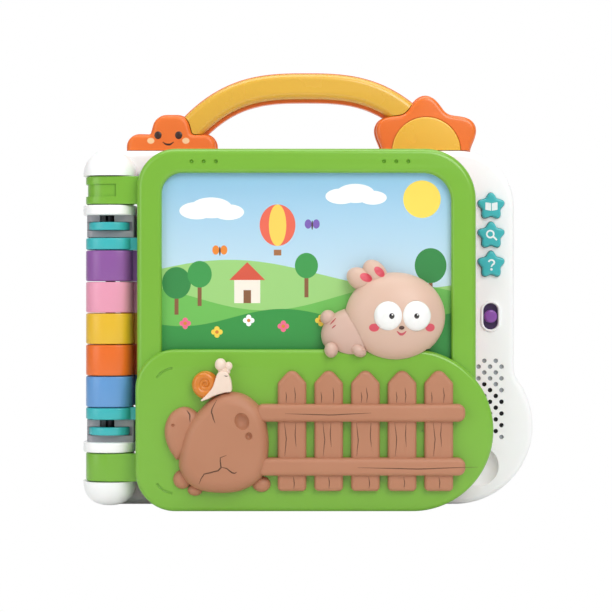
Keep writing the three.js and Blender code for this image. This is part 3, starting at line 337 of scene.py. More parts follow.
knob_low, knob_high = span("switch_knob")
knob_x, knob_z = middle((knob_low.x, knob_high.x)), middle((knob_low.z, knob_high.z))
SLOT_HALF = (4.45, 7.95)
slot_outline = box_outline(
    knob_x - SLOT_HALF[0], knob_z - SLOT_HALF[1], knob_x + SLOT_HALF[0], knob_z + SLOT_HALF[1], 4.3)
HOLE_PITCH = (3.48, 3.56)
HOLE_RADIUS = 1.4
ROWS_OF_A_KIND = 7
grille_x = middle(star_boxes["top"]).x - 0.5
grille_top = span("speaker")[0].z + 45.2
grille_holes = []
for kind, per_row in enumerate((2, 3)):
    first_x, first_z = grille_x - (kind + 1) * HOLE_PITCH[0], grille_top - kind * HOLE_PITCH[1]
    hole = moulding([circle(first_x, first_z, HOLE_RADIUS, 20)], DECK - 1, DECK + 1.4, 0)
    row = stepped(hole, per_row, (2 * HOLE_PITCH[0], 0, 0), white)
    grille_holes.append(stepped(row, ROWS_OF_A_KIND, (0, 0, -2 * HOLE_PITCH[1]), white))
SCOOP = (shell_high.x - 33.4, 23.5)
SCOOP_RADIUS, SCOOP_DEPTH = 12.3, 6.5
STAR_GAP = 0.35
star_cutters = [moulding([star_outline(middle(b).x, middle(b).z, STAR_GAP)], DECK - 1, DECK + 3, 0)
                for b in star_boxes.values()]
deck = carved(moulding([base_outline()], DECK, DECK + 22, EDGE_RADIUS, 6), [
    *star_cutters, moulding([slot_outline], DECK - 1, DECK + 3, 0), *grille_holes,
    ball((SCOOP[0], DECK, SCOOP[1]), (SCOOP_RADIUS, SCOOP_DEPTH, SCOOP_RADIUS), 0, 40)])
PARTING = rear_low.y - 0.3
deck = carved(deck, [slab(DECK - 20, PARTING, left=-60)], "INTERSECT")
finish_piece("front_shell_skin", deck, white, "front_shell")

# Rear shell of the base: the same white ABS, screwed on from behind through six sunk posts, with a
# battery door that a small steel screw holds.
door_low, door_high = span("battery_door")
BACK = rear_high.y
POSTS = [(31.75, 14), (121.75, 12), (187.75, 12), (61.75, 203.3), (121.75, 203.3), (209.25, 203.3)]
SINK_RADIUS, SINK_DEPTH = 2.8, 5
DOOR_GAP, DOOR_RADIUS = 0.3, 3
sinks = [moulding([circle(x, z, SINK_RADIUS, 24)], BACK - SINK_DEPTH, BACK + 1, 0) for x, z in POSTS]
seat = box_outline(door_low.x - DOOR_GAP, door_low.z - DOOR_GAP,
                   door_high.x + DOOR_GAP, door_high.z + DOOR_GAP, DOOR_RADIUS)
seat_cut = moulding([seat], door_low.y - DOOR_GAP, BACK + 1, 0)
rear = carved(moulding([base_outline()], BACK - 24, BACK, EDGE_RADIUS, 6), [*sinks, seat_cut])
behind = slab(PARTING + 0.3, BACK + 20, left=-60)
finish_piece("rear_shell_skin", carved(rear, [behind], "INTERSECT"), white, "rear_shell")
door = moulding([box_outline(door_low.x, door_low.z, door_high.x, door_high.z, 2.7)], door_low.y, BACK, 0.4)
finish_piece("battery_door_skin", door, white, "battery_door")


def metal(name, colour, roughness):
    """Bare metal, which takes its tone from the room and has no clear film over it."""
    material = plastic(name, colour, roughness, grain=0.05, coat=0.0)
    material.node_tree.nodes["Principled BSDF"].inputs["Metallic"].default_value = 1.0
    return material


# Zinc plating, which gives the screws a pale, slightly dull shine.
steel = metal("zinc-plated steel", "#b9bdc2", 0.32)
HEAD_RADIUS, HEAD_RISE = 2.4, 1.2


def screw_head(x, z, back):
    """A pan head with a cross recess, facing the back."""
    head = ball((x, back - HEAD_RISE, z), (HEAD_RADIUS, HEAD_RISE, HEAD_RADIUS), 0, 12)
    slots = [slab(back - 0.7, back + 1, x - w, z - h, x + w, z + h) for w, h in ((1.5, 0.3), (0.3, 1.5))]
    return carved(head, slots)


screws = [screw_head(x, z, BACK - 2.8) for x, z in POSTS]
finish_piece("case_screws", joined(screws), steel, body="base")
door_screw = screw_head(middle((door_low.x, door_high.x)), door_high.z - 1.2 - HEAD_RADIUS, BACK + 0.9)
finish_piece("door_screw", door_screw, steel, body="base")

# The spine: white rings, columns and domes belong to the base; the columns are white ABS painted grey as
# shade. Each is an
# ABS moulding on the steel shaft, and a teal clip shows through the slot of each column.
KNUCKLE_EDGE = 0.9


def rounded_square(half, power, count=96):
    """Points of a rounded square in plan."""
    def radius(t):
        return half * (abs(math.cos(t)) ** power + abs(math.sin(t)) ** power) ** (-1 / power)
    return polar(0, 0, radius, count)


def skinned(loops, name, mirrored=False):
    """Skins closed loops, all of one count, and closes both ends; mirrored for loops seen from the front."""
    shape = bmesh.new()
    rows = [[shape.verts.new(point) for point in loop] for loop in loops]
    for near, far in zip(rows, rows[1:]):
        for i in range(len(near)):
            j = (i + 1) % len(near)
            shape.faces.new((near[i], near[j], far[j], far[i]))
    for end in ((rows[0], rows[-1][::-1]) if mirrored else (rows[0][::-1], rows[-1])):
        shape.faces.new(end)
    return as_mesh(shape, name, outwards=True)


def stacked(rings):
    """A solid of level rings, each (height, outline in plan), from the floor upwards."""
    return skinned([[(x, y, height) for x, y in outline] for height, outline in rings], "stack")


def prism(plan, low, high):
    return stacked([(low, plan), (high, plan)])


def soft_ring(half, power, low, high, edge=KNUCKLE_EDGE):
    """A rounded-square collar whose top and bottom edges are rolled."""
    bends = [math.pi / 2 * step / 4 for step in range(5)]
    roll = [(edge * (1 - math.cos(bend)), half - edge * (1 - math.sin(bend))) for bend in bends]
    rings = [(low + rise, rounded_square(width, power)) for rise, width in roll]
    rings += [(high - rise, rounded_square(width, power)) for rise, width in reversed(roll)]
    return stacked(rings)


RING_HALF, RING_POWER = 15.9, 2.4
KNUCKLE_HALF, KNUCKLE_POWER = 14.3, 2.8
RING_LEVELS = ((34.0, 39.9), (174.9, 180.8))
COLUMN_LEVELS = ((39.9, 53.0), (161.8, 174.9))
rings = [soft_ring(RING_HALF, RING_POWER, low, high) for low, high in RING_LEVELS]
finish_piece("spine_rings", joined(rings), white, body="base")

# White ABS painted grey and without a gloss, as painted shade, so that the columns sink back between the
# bright knuckles.
column_shade_grey = plastic("spine column ABS, painted grey as shade", "#9b9aa0", roughness=0.45)
COLUMN_PLAN = rounded([(-13.5, 14, 0), (-13.5, -8, 4), (15, -8, 1), (15, 14, 0)])
NOTCH_PLAN = [(-5.5, -12), (3.2, -12), (3.2, -1), (-5.5, -1)]
SLOT_PLAN = [(-14, -12), (14, -12), (14, -4.7), (-14, -4.7)]
columns = []
for low, high in COLUMN_LEVELS:
    centre = (low + high) / 2
    cuts = [prism(NOTCH_PLAN, centre, high + 1), prism(SLOT_PLAN, centre - 2.7, centre + 2.7)]
    columns.append(carved(prism(COLUMN_PLAN, low, high), cuts))
finish_piece("spine_columns", joined(columns), column_shade_grey, body="base")

# Smooth steel, painted dark as the shade in the notch.
shaft_shade_steel = metal("spine shaft steel, painted dark as shade", "#3c3d42", 0.35)
rod = prism(circle(0, 0, 3, 48), shaft_low[2] / MM, shaft_high[2] / MM)
finish_piece("spine_shaft_skin", rod, shaft_shade_steel, "spine_shaft")

# Teal ABS, of one even tone on clips, rings and stars.
TEAL = "#3cb8bc"
teal = plastic("teal ABS", TEAL)
OPEN_PLAN = [(-20, -5), (20, -5), (20, 20), (-20, 20)]
for node in ("spine_clip_bottom", "spine_clip_top"):
    low, high = span(node)
    inside = [prism(plan, low.z - 1, high.z + 1) for plan in (rounded_square(9.7, RING_POWER), OPEN_PLAN)]
    bow = carved(soft_ring(12.7, RING_POWER, low.z, high.z, 0.8), inside)
    finish_piece(f"{node}_skin", bow, teal, node)


def dome(node, points_up):
    """The domed end of the spine, flat where it meets the cover's knuckle and behind."""
    low, high = span(node)
    height = high.z - low.z
    shares = [math.sin(math.pi / 2 * step / 20) for step in range(20)] + [0.999]
    rings = []
    for share in shares:
        half = RING_HALF * max(0.04, (1 - share ** 2.3) ** (1 / 2.3))
        rings.append((low.z + share * height if points_up else high.z - share * height,
                      rounded_square(half, RING_POWER)))
    mesh = stacked(rings if points_up else rings[::-1])
    return carved(mesh, [slab(-40, DECK - 0.2, right=40)], "INTERSECT")


for node, points_up in (("spine_cap_bottom", False), ("spine_cap_top", True)):
    finish_piece(f"{node}_skin", dome(node, points_up), white, node)

# Six stiff leaves, each a hollow coloured moulding with a printed sheet on both faces and its own
# knuckles on the shaft. The print is plain: a white field with rows of coloured tiles.
LEAVES = {
    "teal": (TEAL, [(53.5, 60.4), (154.4, 161.3)]), "purple": ("#9058a1", [(135.7, 153.9)]),
    "pink": ("#ec9eb7", [(117.0, 135.2)]), "yellow": ("#ebbc2c", [(98.3, 116.5)]),
    "orange": ("#ee7021", [(79.6, 97.8)]), "blue": ("#659cd5", [(60.9, 79.1)])}
TILE_WIDTH, TILE_HEIGHT = 0.0385, 0.044
TILE_HALF, SPOT_RADIUS = 0.42, 0.27  # shares of a tile's room
MATHS, VECTORS = "ShaderNodeMath", "ShaderNodeVectorMath"


def chained(tree, value, steps):
    """Feeds a value through a row of nodes, each given as (kind, operation, further inputs)."""
    for kind, operation, *further in steps:
        inputs = {0: value, **dict(enumerate(further, 1))}
        node = add_node(tree, kind, inputs, operation=operation)
        value = next(output for output in node.outputs if output.enabled)
    return value


def printed(name, edge, tiles):
    """A printed sheet: the leaf's colour at the rim, white tiles and a plain coloured spot in each."""
    material = plastic(name, edge, roughness=0.38, grain=0.0)
    tree = material.node_tree
    shader = tree.nodes["Principled BSDF"]
    where = add_node(tree, "ShaderNodeTexCoord").outputs["Object"]
    parts = add_node(tree, "ShaderNodeSeparateXYZ", {"Vector": where})
    counts = [chained(tree, parts.outputs[axis], [(MATHS, "MULTIPLY", 1 / size)])
              for axis, size in (("X", TILE_WIDTH), ("Z", TILE_HEIGHT))]
    cell, place_in_cell = (
        add_node(tree, "ShaderNodeCombineXYZ", {
            index: chained(tree, count, [(MATHS, operation)]) for index, count in enumerate(counts)})
        for operation in ("FLOOR", "FRACT"))
    dice = add_node(tree, "ShaderNodeTexWhiteNoise", {"Vector": cell.outputs[0]})
    away = chained(tree, place_in_cell.outputs[0], [(VECTORS, "SUBTRACT", (0.5, 0.5, 0.0))])
    sides = add_node(tree, "ShaderNodeSeparateXYZ", {"Vector": chained(tree, away, [(VECTORS, "ABSOLUTE")])})
    tile = chained(tree, sides.outputs[0], [
        (MATHS, "MAXIMUM", sides.outputs[1]), (MATHS, "LESS_THAN", TILE_HALF)])
    spot = chained(tree, away, [(VECTORS, "LENGTH"), (MATHS, "LESS_THAN", SPOT_RADIUS)])
    hues = add_node(tree, "ShaderNodeValToRGB", {"Fac": dice.outputs["Value"]})
    hues.color_ramp.interpolation = "CONSTANT"
    stops = hues.color_ramp.elements
    for index, hue in enumerate(tiles):
        stop = stops[index] if index < 2 else stops.new(index / len(tiles))
        stop.position = index / len(tiles)
        stop.color = to_linear(hue)
    base = add_node(tree, "ShaderNodeMix", {
        "Factor": tile, 6: to_linear(edge), 7: to_linear("#fbfbf7")}, data_type="RGBA")
    whole = add_node(tree, "ShaderNodeMix", {
        "Factor": spot, 6: base.outputs[2], 7: hues.outputs["Color"]}, data_type="RGBA")
    tree.links.new(whole.outputs[2], shader.inputs["Base Color"])
    return material


TILE_HUES = ["#e8473f", "#f6b42c", "#58b947", "#3f8fd2", "#8a57a6"]
cover_low, cover_high = span("cover_frame")
cover_plate = (17.75, cover_low.z, cover_high.x, cover_high.z)
COVER_CORNERS = (23, 42, 30, 23)
LEAF_INSET, LEAF_RIM = 1.6, 7
LEAF_FRONT, LEAF_PITCH, LEAF_THICK = -8.7, 3.5, 3.2


def cover_shape(inset):
    """The cover's outline, or one a little inside it."""
    left, bottom, right, top = cover_plate
    corners = [(left + inset, bottom + inset), (right - inset, bottom + inset),
               (right - inset, top - inset), (left + inset, top - inset)]
    return rounded([(x, z, r - inset) for (x, z), r in zip(corners, COVER_CORNERS)])


for number, (name, (colour, levels)) in enumerate(LEAVES.items()):
    front = LEAF_FRONT + LEAF_PITCH * number
    back = front + LEAF_THICK
    # Coloured ABS, bright and even from rim to knuckle.
    leaf_plastic = plastic(f"{name} leaf ABS", colour)
    shapes = [moulding([cover_shape(LEAF_INSET), cover_shape(LEAF_INSET + LEAF_RIM)], front, back, 0.5, 3)]
    for low, high in levels:
        shapes.append(soft_ring(KNUCKLE_HALF, KNUCKLE_POWER, low, high))
        shapes.append(moulding([box_outline(6, low - 0.22, 24, high + 0.22, 0.1)], front, back, 0.06, 1))
    finish_piece(f"leaf_{name}_skin", joined(shapes), leaf_plastic, f"leaf_{name}")
    sheet = moulding([cover_shape(LEAF_INSET + LEAF_RIM - 0.5)], front + 0.3, back - 0.3, 0)
    print_look = printed(f"{name} printed sheet", colour, TILE_HUES[number % 3:] + TILE_HUES[:number % 3])
    finish_piece(f"leaf_{name}_print", sheet, print_look, body=f"{name}_leaf")

# Cover: a green ABS frame round a sunken picture, moulded in one piece and hung on the shaft by two
# knuckles, with six small dimples above the window. The upper knuckle has a finger groove.
panel_low, panel_high = span("ground_panel")
FRONT = cover_low.y
WINDOW_MARGIN = (14.6, 14.3)
WINDOW_RADIUS = 12
window = (cover_plate[0] + WINDOW_MARGIN[0], panel_high.z - 7, cover_plate[2] - WINDOW_MARGIN[0],
          cover_plate[3] - WINDOW_MARGIN[1])

# Green ABS with a clear gloss, which catches the light along its rolled edge.
green = plastic("green ABS", "#7ab535", roughness=0.28, coat=0.25)


def window_shape(growth=0.0):
    """The opening over the picture, tight at the foot and round at the top."""
    left, bottom, right, top = window
    corners = [(left - growth, bottom - growth, 1.5), (right + growth, bottom - growth, 1.5),
               (right + growth, top + growth, WINDOW_RADIUS + 4.5),
               (left - growth, top + growth, WINDOW_RADIUS)]
    return rounded([(x, z, radius + growth) for x, z, radius in corners], even=14)


def lofted(sections):
    """A solid through outlines at given depths, from the front backwards."""
    loops = [[(x, depth, z) for x, z in outline] for depth, outline in sections]
    return skinned(loops, "loft", mirrored=True)


FLARE_STEPS, FLARE_WIDTH, FLARE_DEPTH = 6, 2.2, 2.0
flare = []
for step in range(FLARE_STEPS + 1):
    bend = math.pi / 2 * step / FLARE_STEPS
    outline = window_shape(FLARE_WIDTH * (1 - math.sin(bend)))
    flare.append((FRONT - 0.02 + FLARE_DEPTH * (1 - math.cos(bend)), outline))
frame_plate = moulding([cover_shape(0)], FRONT, cover_high.y + 8, 3.4, 7)
window_cut = moulding([window_shape()], FRONT - 3, cover_high.y + 20, 0)
flare_cut = lofted([(FRONT - 2, flare[0][1]), *flare])
DIMPLE, DIMPLE_PITCH = (1.25, 1.6, 1.25), 7.15
dimple_rows = []
for x in (window[0] + 17.7, window[2] - 39.6):
    dimple = ball((x, FRONT, cover_plate[3] - 7.7), DIMPLE, 0, 10)
    dimple_rows.append(stepped(dimple, 3, (DIMPLE_PITCH, 0, 0), green))
frame_skin = carved(frame_plate, [window_cut, flare_cut, *dimple_rows])
FRAME_BACK = -9.5
frame_skin = carved(frame_skin, [slab(FRONT - 5, FRAME_BACK)], "INTERSECT")
finish_piece("cover_frame_skin", frame_skin, green, "cover_frame")
LOWER_LEVELS, UPPER_LEVELS = (17.0, 33.5), (181.3, 197.8)
GROOVE_PLAN = [(-20, -20), (2, -20), (4.8, -17), (4.8, 20), (-20, 20)]
GROOVE_HALF, GROOVE_DEPTH = 3.7, 1.1
cover_knuckles = []
for low, high in (LOWER_LEVELS, UPPER_LEVELS):
    strap = moulding([box_outline(-1, low, 20.5, high, 0.8)], -KNUCKLE_HALF, -9.1, 0.6, 4)
    knuckle = carved(soft_ring(KNUCKLE_HALF, KNUCKLE_POWER, low, high), [strap], "UNION")
    if (low, high) == UPPER_LEVELS:
        centre = (low + high) / 2
        core = soft_ring(KNUCKLE_HALF - GROOVE_DEPTH, KNUCKLE_POWER, centre - 4.5, centre + 4.5, 0.2)
        band = prism(GROOVE_PLAN, centre - GROOVE_HALF, centre + GROOVE_HALF)
        knuckle = carved(knuckle, [carved(band, [core])])
    cover_knuckles.append(knuckle)
finish_piece("cover_knuckles", joined(cover_knuckles), green, body="cover")
inner_high = span("cover_inner_panel")[1]
inner = moulding([cover_shape(2.3)], inner_high.y - 2.2, inner_high.y, 0.3, 2)
finish_piece("cover_inner_panel_skin", inner, green, "cover_inner_panel")

# The picture card: a sheet printed with sky, clouds, hills, a balloon and round trees, laid into the
# cover from behind. The print is fields of flat colour, placed by shares of the window's width.
card_low, card_high = span("picture_card")


def picture():
    """Coated card: flat inks under a thin clear film, which keeps them bright."""
    material = plastic("printed picture card", "#aed6ea", roughness=0.42, grain=0.0, coat=0.3)
    tree = material.node_tree
    where = add_node(tree, "ShaderNodeTexCoord").outputs["Object"]
    left, width, foot = window[0] * MM + SPINE_X, (window[2] - window[0]) * MM, window[1] * MM
    page = chained(tree, where, [
        (VECTORS, "MULTIPLY", (1, 0, 1)), (VECTORS, "SUBTRACT", (left, 0, foot)),
        (VECTORS, "DIVIDE", (width, 1, width))])
    parts = add_node(tree, "ShaderNodeSeparateXYZ", {"Vector": page})
    across, up = parts.outputs["X"], parts.outputs["Z"]
    sky = add_node(tree, "ShaderNodeValToRGB", {"Fac": chained(tree, up, [(MATHS, "MULTIPLY", 1.5)])})
    stops = sky.color_ramp.elements
    stops[0].color, stops[1].color = to_linear("#e6f4f6"), to_linear("#8fc6e6")
    layer = sky.outputs["Color"]

    def paint(mask, hue):
        nonlocal layer
        inks = {"Factor": mask, 6: layer, 7: to_linear(hue)}
        layer = add_node(tree, "ShaderNodeMix", inks, data_type="RGBA").outputs[2]

    def oval(x, z, half_x, half_z, hue):
        paint(chained(tree, page, [
            (VECTORS, "SUBTRACT", (x, 0, z)), (VECTORS, "DIVIDE", (half_x, 1, half_z)), (VECTORS, "LENGTH"),
            (MATHS, "LESS_THAN", 1.0)]), hue)

    def bar(low_x, high_x, low_z, high_z, hue):
        centre = ((low_x + high_x) / 2, 0, (low_z + high_z) / 2)
        half = ((high_x - low_x) / 2, 1, (high_z - low_z) / 2)
        paint(chained(tree, page, [
            (VECTORS, "SUBTRACT", centre), (VECTORS, "DIVIDE", half), (VECTORS, "ABSOLUTE"),
            (VECTORS, "FLOOR"), (VECTORS, "LENGTH"), (MATHS, "LESS_THAN", 0.5)]), hue)

    oval(0.9, 0.56, 0.065, 0.065, "#ffdf5a")
    for x, z, size in ((0.12, 0.52, 0.05), (0.17, 0.53, 0.06), (0.23, 0.515, 0.045),
                       (0.62, 0.57, 0.045), (0.67, 0.58, 0.055), (0.73, 0.565, 0.04)):
        oval(x, z, size * 1.2, size * 0.6, "#ffffff")
    for height, swell, pitch, shift, hue in (
            (0.3, 0.05, 5.0, 0.4, "#9fd37c"), (0.22, 0.045, 6.5, 2.4, "#6fbf55"),
            (0.15, 0.03, 9.0, 4.1, "#329641")):
        paint(chained(tree, across, [
            (MATHS, "MULTIPLY_ADD", pitch, shift), (MATHS, "SINE"), (MATHS, "MULTIPLY_ADD", swell, height),
            (MATHS, "GREATER_THAN", up)]), hue)
    for x, z, size, hue in ((0.05, 0.27, 0.05, "#2f8a43"), (0.13, 0.3, 0.042, "#3c9c4b"),
                            (0.5, 0.33, 0.04, "#3c9c4b"), (0.93, 0.33, 0.055, "#2f8a43")):
        bar(x - 0.007, x + 0.007, z - 0.11, z, "#8b5b38")
        oval(x, z, size, size * 1.1, hue)
    bar(0.25, 0.34, 0.2, 0.28, "#f7efe0")
    above_wall = chained(tree, up, [(MATHS, "GREATER_THAN", 0.28)])
    paint(chained(tree, across, [
        (MATHS, "SUBTRACT", 0.295), (MATHS, "ABSOLUTE"), (MATHS, "ADD", up), (MATHS, "LESS_THAN", 0.342),
        (MATHS, "MULTIPLY", above_wall)]), "#d9573f")
    bar(0.282, 0.308, 0.2, 0.245, "#8b5b38")
    oval(0.4, 0.47, 0.062, 0.072, "#ee6a52")
    oval(0.4, 0.47, 0.03, 0.072, "#ffd45a")
    bar(0.387, 0.413, 0.365, 0.385, "#a86f43")
    for x, z, hue in ((0.08, 0.13, "#f26d8d"), (0.19, 0.1, "#ffd84a"), (0.3, 0.14, "#ffffff"),
                      (0.42, 0.12, "#f26d8d"), (0.55, 0.14, "#ffd84a"), (0.92, 0.12, "#ffffff")):
        for dx, dz in ((-0.011, 0), (0.011, 0), (0, 0.011), (0, -0.011)):
            oval(x + dx, z + dz, 0.009, 0.009, hue)
        oval(x, z, 0.006, 0.006, "#d9862f")
    for x, z, hue in ((0.52, 0.47, "#7d5fb4"), (0.2, 0.38, "#f08a2c")):
        for side in (-1, 1):
            oval(x + side * 0.014, z + 0.004, 0.012, 0.016, hue)
        oval(x, z, 0.003, 0.016, "#4a3a34")
    tree.links.new(layer, tree.nodes["Principled BSDF"].inputs["Base Color"])
    return material


card_mesh = moulding([window_shape(4)], card_low.y, card_high.y, 0)
finish_piece("picture_card_skin", card_mesh, picture(), "picture_card")

# Ground panel: a second green moulding welded over the cover's lower half, with a soft edge, a short
# engraved arc in each of its two left corners and a pinhole at the right.
PANEL_FRONT = panel_low.y
PANEL_RADIUS = (panel_high.z - panel_low.z) / 2
LEFT_RADIUS = 23.4
panel_outline = rounded([
    (panel_low.x, panel_low.z, LEFT_RADIUS), (panel_high.x, panel_low.z, PANEL_RADIUS),
    (panel_high.x, panel_high.z, PANEL_RADIUS), (panel_low.x, panel_high.z, LEFT_RADIUS)], 2)


def arc_channel(x, z, start, stop, radius=12.6, width=1.4, depth=0.8):
    """A cutter for a shallow channel along an arc."""
    turns = [math.radians(start + (stop - start) * step / 24) for step in range(25)]
    sides = [[Vector((x + reach * math.cos(t), z + reach * math.sin(t))) for t in turns]
             for reach in (radius + width / 2, radius - width / 2)]
    return moulding([sides[0] + sides[1][::-1]], PANEL_FRONT - depth, PANEL_FRONT + depth, 0.35, 3)


corner_x = panel_low.x + LEFT_RADIUS
channels = [arc_channel(corner_x, panel_high.z - LEFT_RADIUS, 97, 147),
            arc_channel(corner_x, panel_low.z + LEFT_RADIUS, 213, 263)]
pinhole = moulding([circle(panel_high.x - 41.8, PANEL_RADIUS + panel_low.z, 0.8, 20)],
                   PANEL_FRONT - 1, PANEL_FRONT + 1, 0)
panel = carved(moulding([panel_outline], PANEL_FRONT, FRONT + 6, 2.6, 7), [*channels, pinhole])
skirt = carved(moulding([panel_outline], FRONT - 2, 3, 0.3, 2),
               [slab(PANEL_FRONT + 0.5, -9, left=cover_plate[2] + 0.3)], "INTERSECT")
panel = joined([carved(panel, [slab(PANEL_FRONT - 5, FRONT - 0.02)], "INTERSECT"), skirt])
finish_piece("ground_panel_skin", panel, green, "ground_panel")

# Fence: five pointed pickets behind two rails, one brown ABS moulding with wood grain engraved in it,
# welded to the ground panel.


def satin_brown():
    """Brown ABS with a slow darker drift, as a satin mould face leaves it."""
    material = plastic("brown ABS", "#c48b6d", roughness=0.5, grain=0.03, coat=0.0)
    tree = material.node_tree
    where = add_node(tree, "ShaderNodeTexCoord").outputs["Object"]
    drift = add_node(tree, "ShaderNodeTexNoise", {"Vector": where, "Scale": 14.0, "Detail": 4.0})
    mixed = add_node(tree, "ShaderNodeMix", {
        "Factor": drift.outputs["Fac"], 6: to_linear("#b07655"), 7: to_linear("#c08769")}, data_type="RGBA")
    tree.links.new(mixed.outputs[2], tree.nodes["Principled BSDF"].inputs["Base Color"])
    return material


brown = satin_brown()

# Painted shade on an engraved line: dark and dull, as little light reaches its floor.
crack_brown = plastic("shadowed crack", "#5e3f2c", roughness=0.7, coat=0.0)
fence_low, fence_high = span("fence")
PICKET_WIDTH, PICKET_PITCH, PICKET_PROUD = 16.7, 21.4, 4.6
PICKETS, SHOULDER = 5, 8.6
RAIL_FOOT, RAIL_TOP, RAIL_PITCH = 9.3, 19.5, 31.3
picket_foot, picket_top = fence_low.z, fence_high.z + 1.5
first_picket = panel_high.x - 32.4 - (PICKETS - 1) * PICKET_PITCH
left, right = first_picket - PICKET_WIDTH / 2, first_picket + PICKET_WIDTH / 2
picket_outline = rounded([
    (left, picket_foot, 2.5), (right, picket_foot, 2.5), (right, picket_top - SHOULDER, 2.5),
    (first_picket, picket_top + 0.7, 4.5), (left, picket_top - SHOULDER, 2.5)])
picket = moulding([picket_outline], PANEL_FRONT - PICKET_PROUD, PANEL_FRONT + 3, 2.4, 6)
pickets = stepped(picket, PICKETS, (PICKET_PITCH, 0, 0), brown)
rail_outline = box_outline(
    fence_low.x - 4.5, picket_foot + RAIL_FOOT, fence_high.x, picket_foot + RAIL_TOP, 4.2)
rail = moulding([rail_outline], fence_low.y, PANEL_FRONT + 3, 2.6, 6)
rails = stepped(rail, 2, (0, 0, RAIL_PITCH), brown)
front_cut = slab(PANEL_FRONT - 30, PANEL_FRONT - 0.02)
fence_mesh = carved(joined([pickets]), [rails], "UNION")
finish_piece("fence_skin", carved(fence_mesh, [front_cut], "INTERSECT"), brown, "fence")


def ribbon(rows, name, outwards=True):
    """Skins pairs of points into a strip."""
    shape = bmesh.new()
    pairs = [[shape.verts.new(point) for point in row] for row in rows]
    for low, high in zip(pairs, pairs[1:]):
        shape.faces.new((low[0], low[1], high[1], high[0]))
    return as_mesh(shape, name, outwards)


def crack(points, depth_at, width=0.55):
    """A thin line that tapers at both ends and follows a face at the given depth: the painted shade of an
    engraved line, or a printed stroke.
    """
    path = []
    for (x0, z0), (x1, z1) in zip(points, points[1:]):
        path += [Vector((x0 + (x1 - x0) * s / 6, z0 + (z1 - z0) * s / 6)) for s in range(6)]
    path.append(Vector(points[-1]))
    rows = []
    for index, point in enumerate(path):
        ahead = path[min(index + 1, len(path) - 1)] - path[max(index - 1, 0)]
        side = Vector((-ahead.y, ahead.x)).normalized()
        half = width * (0.25 + 0.75 * math.sin(math.pi * (index / (len(path) - 1)))) / 2
        wander = side * 0.14 * noise.noise(Vector((point.x * 0.6, point.y * 0.6, 1.7)))
        edges = [point + wander + side * half * way for way in (-1, 1)]
        rows.append([(e.x, depth_at(e.x, e.y) - 0.06, e.y) for e in edges])
    return ribbon(rows, "crack")


grain_lines = []
for index in range(PICKETS):
    x = first_picket + index * PICKET_PITCH
    lean = 1.1 * math.sin(index * 2.1)
    for dx, low, high, bow in (
            (-4.2 + lean, 20.5, 40, 0.9), (2.4 - lean, 26, 40, -0.6), (1.6 + lean, 51.5, 60.5, 0.4),
            (-3.4 - lean, 51.5, 58, 0.2), (1 - lean, 1.6, 8.6, 0.3)):
        bottom, top = picket_foot + low, picket_foot + high
        grain_lines.append(crack([(x + dx, bottom), (x + dx + bow, (bottom + top) / 2), (x + dx - 0.2, top)],
                                 lambda u, w: PANEL_FRONT - PICKET_PROUD, 0.45))
for index, (start, stop) in enumerate(((38, 108), (-4, 46))):
    z = picket_foot + 14.2 + RAIL_PITCH * index
    path = [(start, z), ((start + stop) / 2, z - 0.8), (stop, z + 0.4)]
    grain_lines.append(crack([(first_picket + x, z) for x, z in path], lambda u, w: fence_low.y, 0.5))
finish_piece("fence_grain", joined(grain_lines), crack_brown, body="cover")

# Rocks: a big boulder, a small one leaning on it and three pebbles, one hollow moulding of the same
# brown ABS, domed at its edges, dented and engraved with cracks.
rock_low = span("rock")[0]
BOULDER = [(68.2, 12.0), (79.2, 13.4), (89.4, 18.8), (93.9, 26.8), (95.4, 37.8), (95, 47.2), (92.4, 58.8),
           (87.7, 65), (81, 69.6), (72.5, 71.1), (66.6, 69.4), (60, 65.2), (49.8, 54), (45.3, 43.8),
           (43, 31), (44, 24.4), (48.7, 17.4), (56.3, 13.4)]
SMALL_STONE = [(43, 31.5), (54, 40), (57, 52), (53, 59.4), (46, 62.2), (39.2, 59.2), (35.4, 53), (34.7, 46),
               (36.6, 39), (39.6, 34)]


def smooth_outline(points, per_span=8):
    """A closed smooth curve through points."""
    outline = []
    for i in range(len(points)):
        a, b, c, d = (Vector(points[(i + k) % len(points)]) for k in (-1, 0, 1, 2))
        for step in range(per_span):
            t = step / per_span
            outline.append(0.5 * ((2 * b) + (c - a) * t + (2 * a - 5 * b + 4 * c - d) * t * t
                                  + (3 * b - a - 3 * c + d) * t ** 3))
    return outline


def stone(outline, front, edge):
    """A stone with a crowned face: rings move in and forward along a quarter ellipse."""
    centre = sum(outline, Vector((0, 0))) / len(outline)
    reach = min((p - centre).length for p in outline)
    sections = [(PANEL_FRONT, outline)]
    for step in range(1, 15):
        share = math.pi / 2 * step / 15
        inwards = 1 - (1 - math.cos(share)) * edge / reach
        sections.append((PANEL_FRONT + (front - PANEL_FRONT) * math.sin(share) ** 0.8,
                         [centre + (p - centre) * inwards for p in outline]))
    for share in (0.6, 0.35, 0.1):
        inwards = (1 - edge / reach) * share
        sections.append((front - 0.25 * (1 - share), [centre + (p - centre) * inwards for p in outline]))
    return lofted(sections)


def front_of(mesh):
    """Gives the depth of a mesh's front face at any place of the page."""
    faces = [list(face.vertices) for face in mesh.polygons]
    tree = BVHTree.FromPolygons([vertex.co for vertex in mesh.vertices], faces)

    def depth(x, z):
        hit = tree.ray_cast(Vector((x, -90, z)), Vector((0, 1, 0)))[0]
        return hit.y - 0.02 if hit else PANEL_FRONT
    return depth


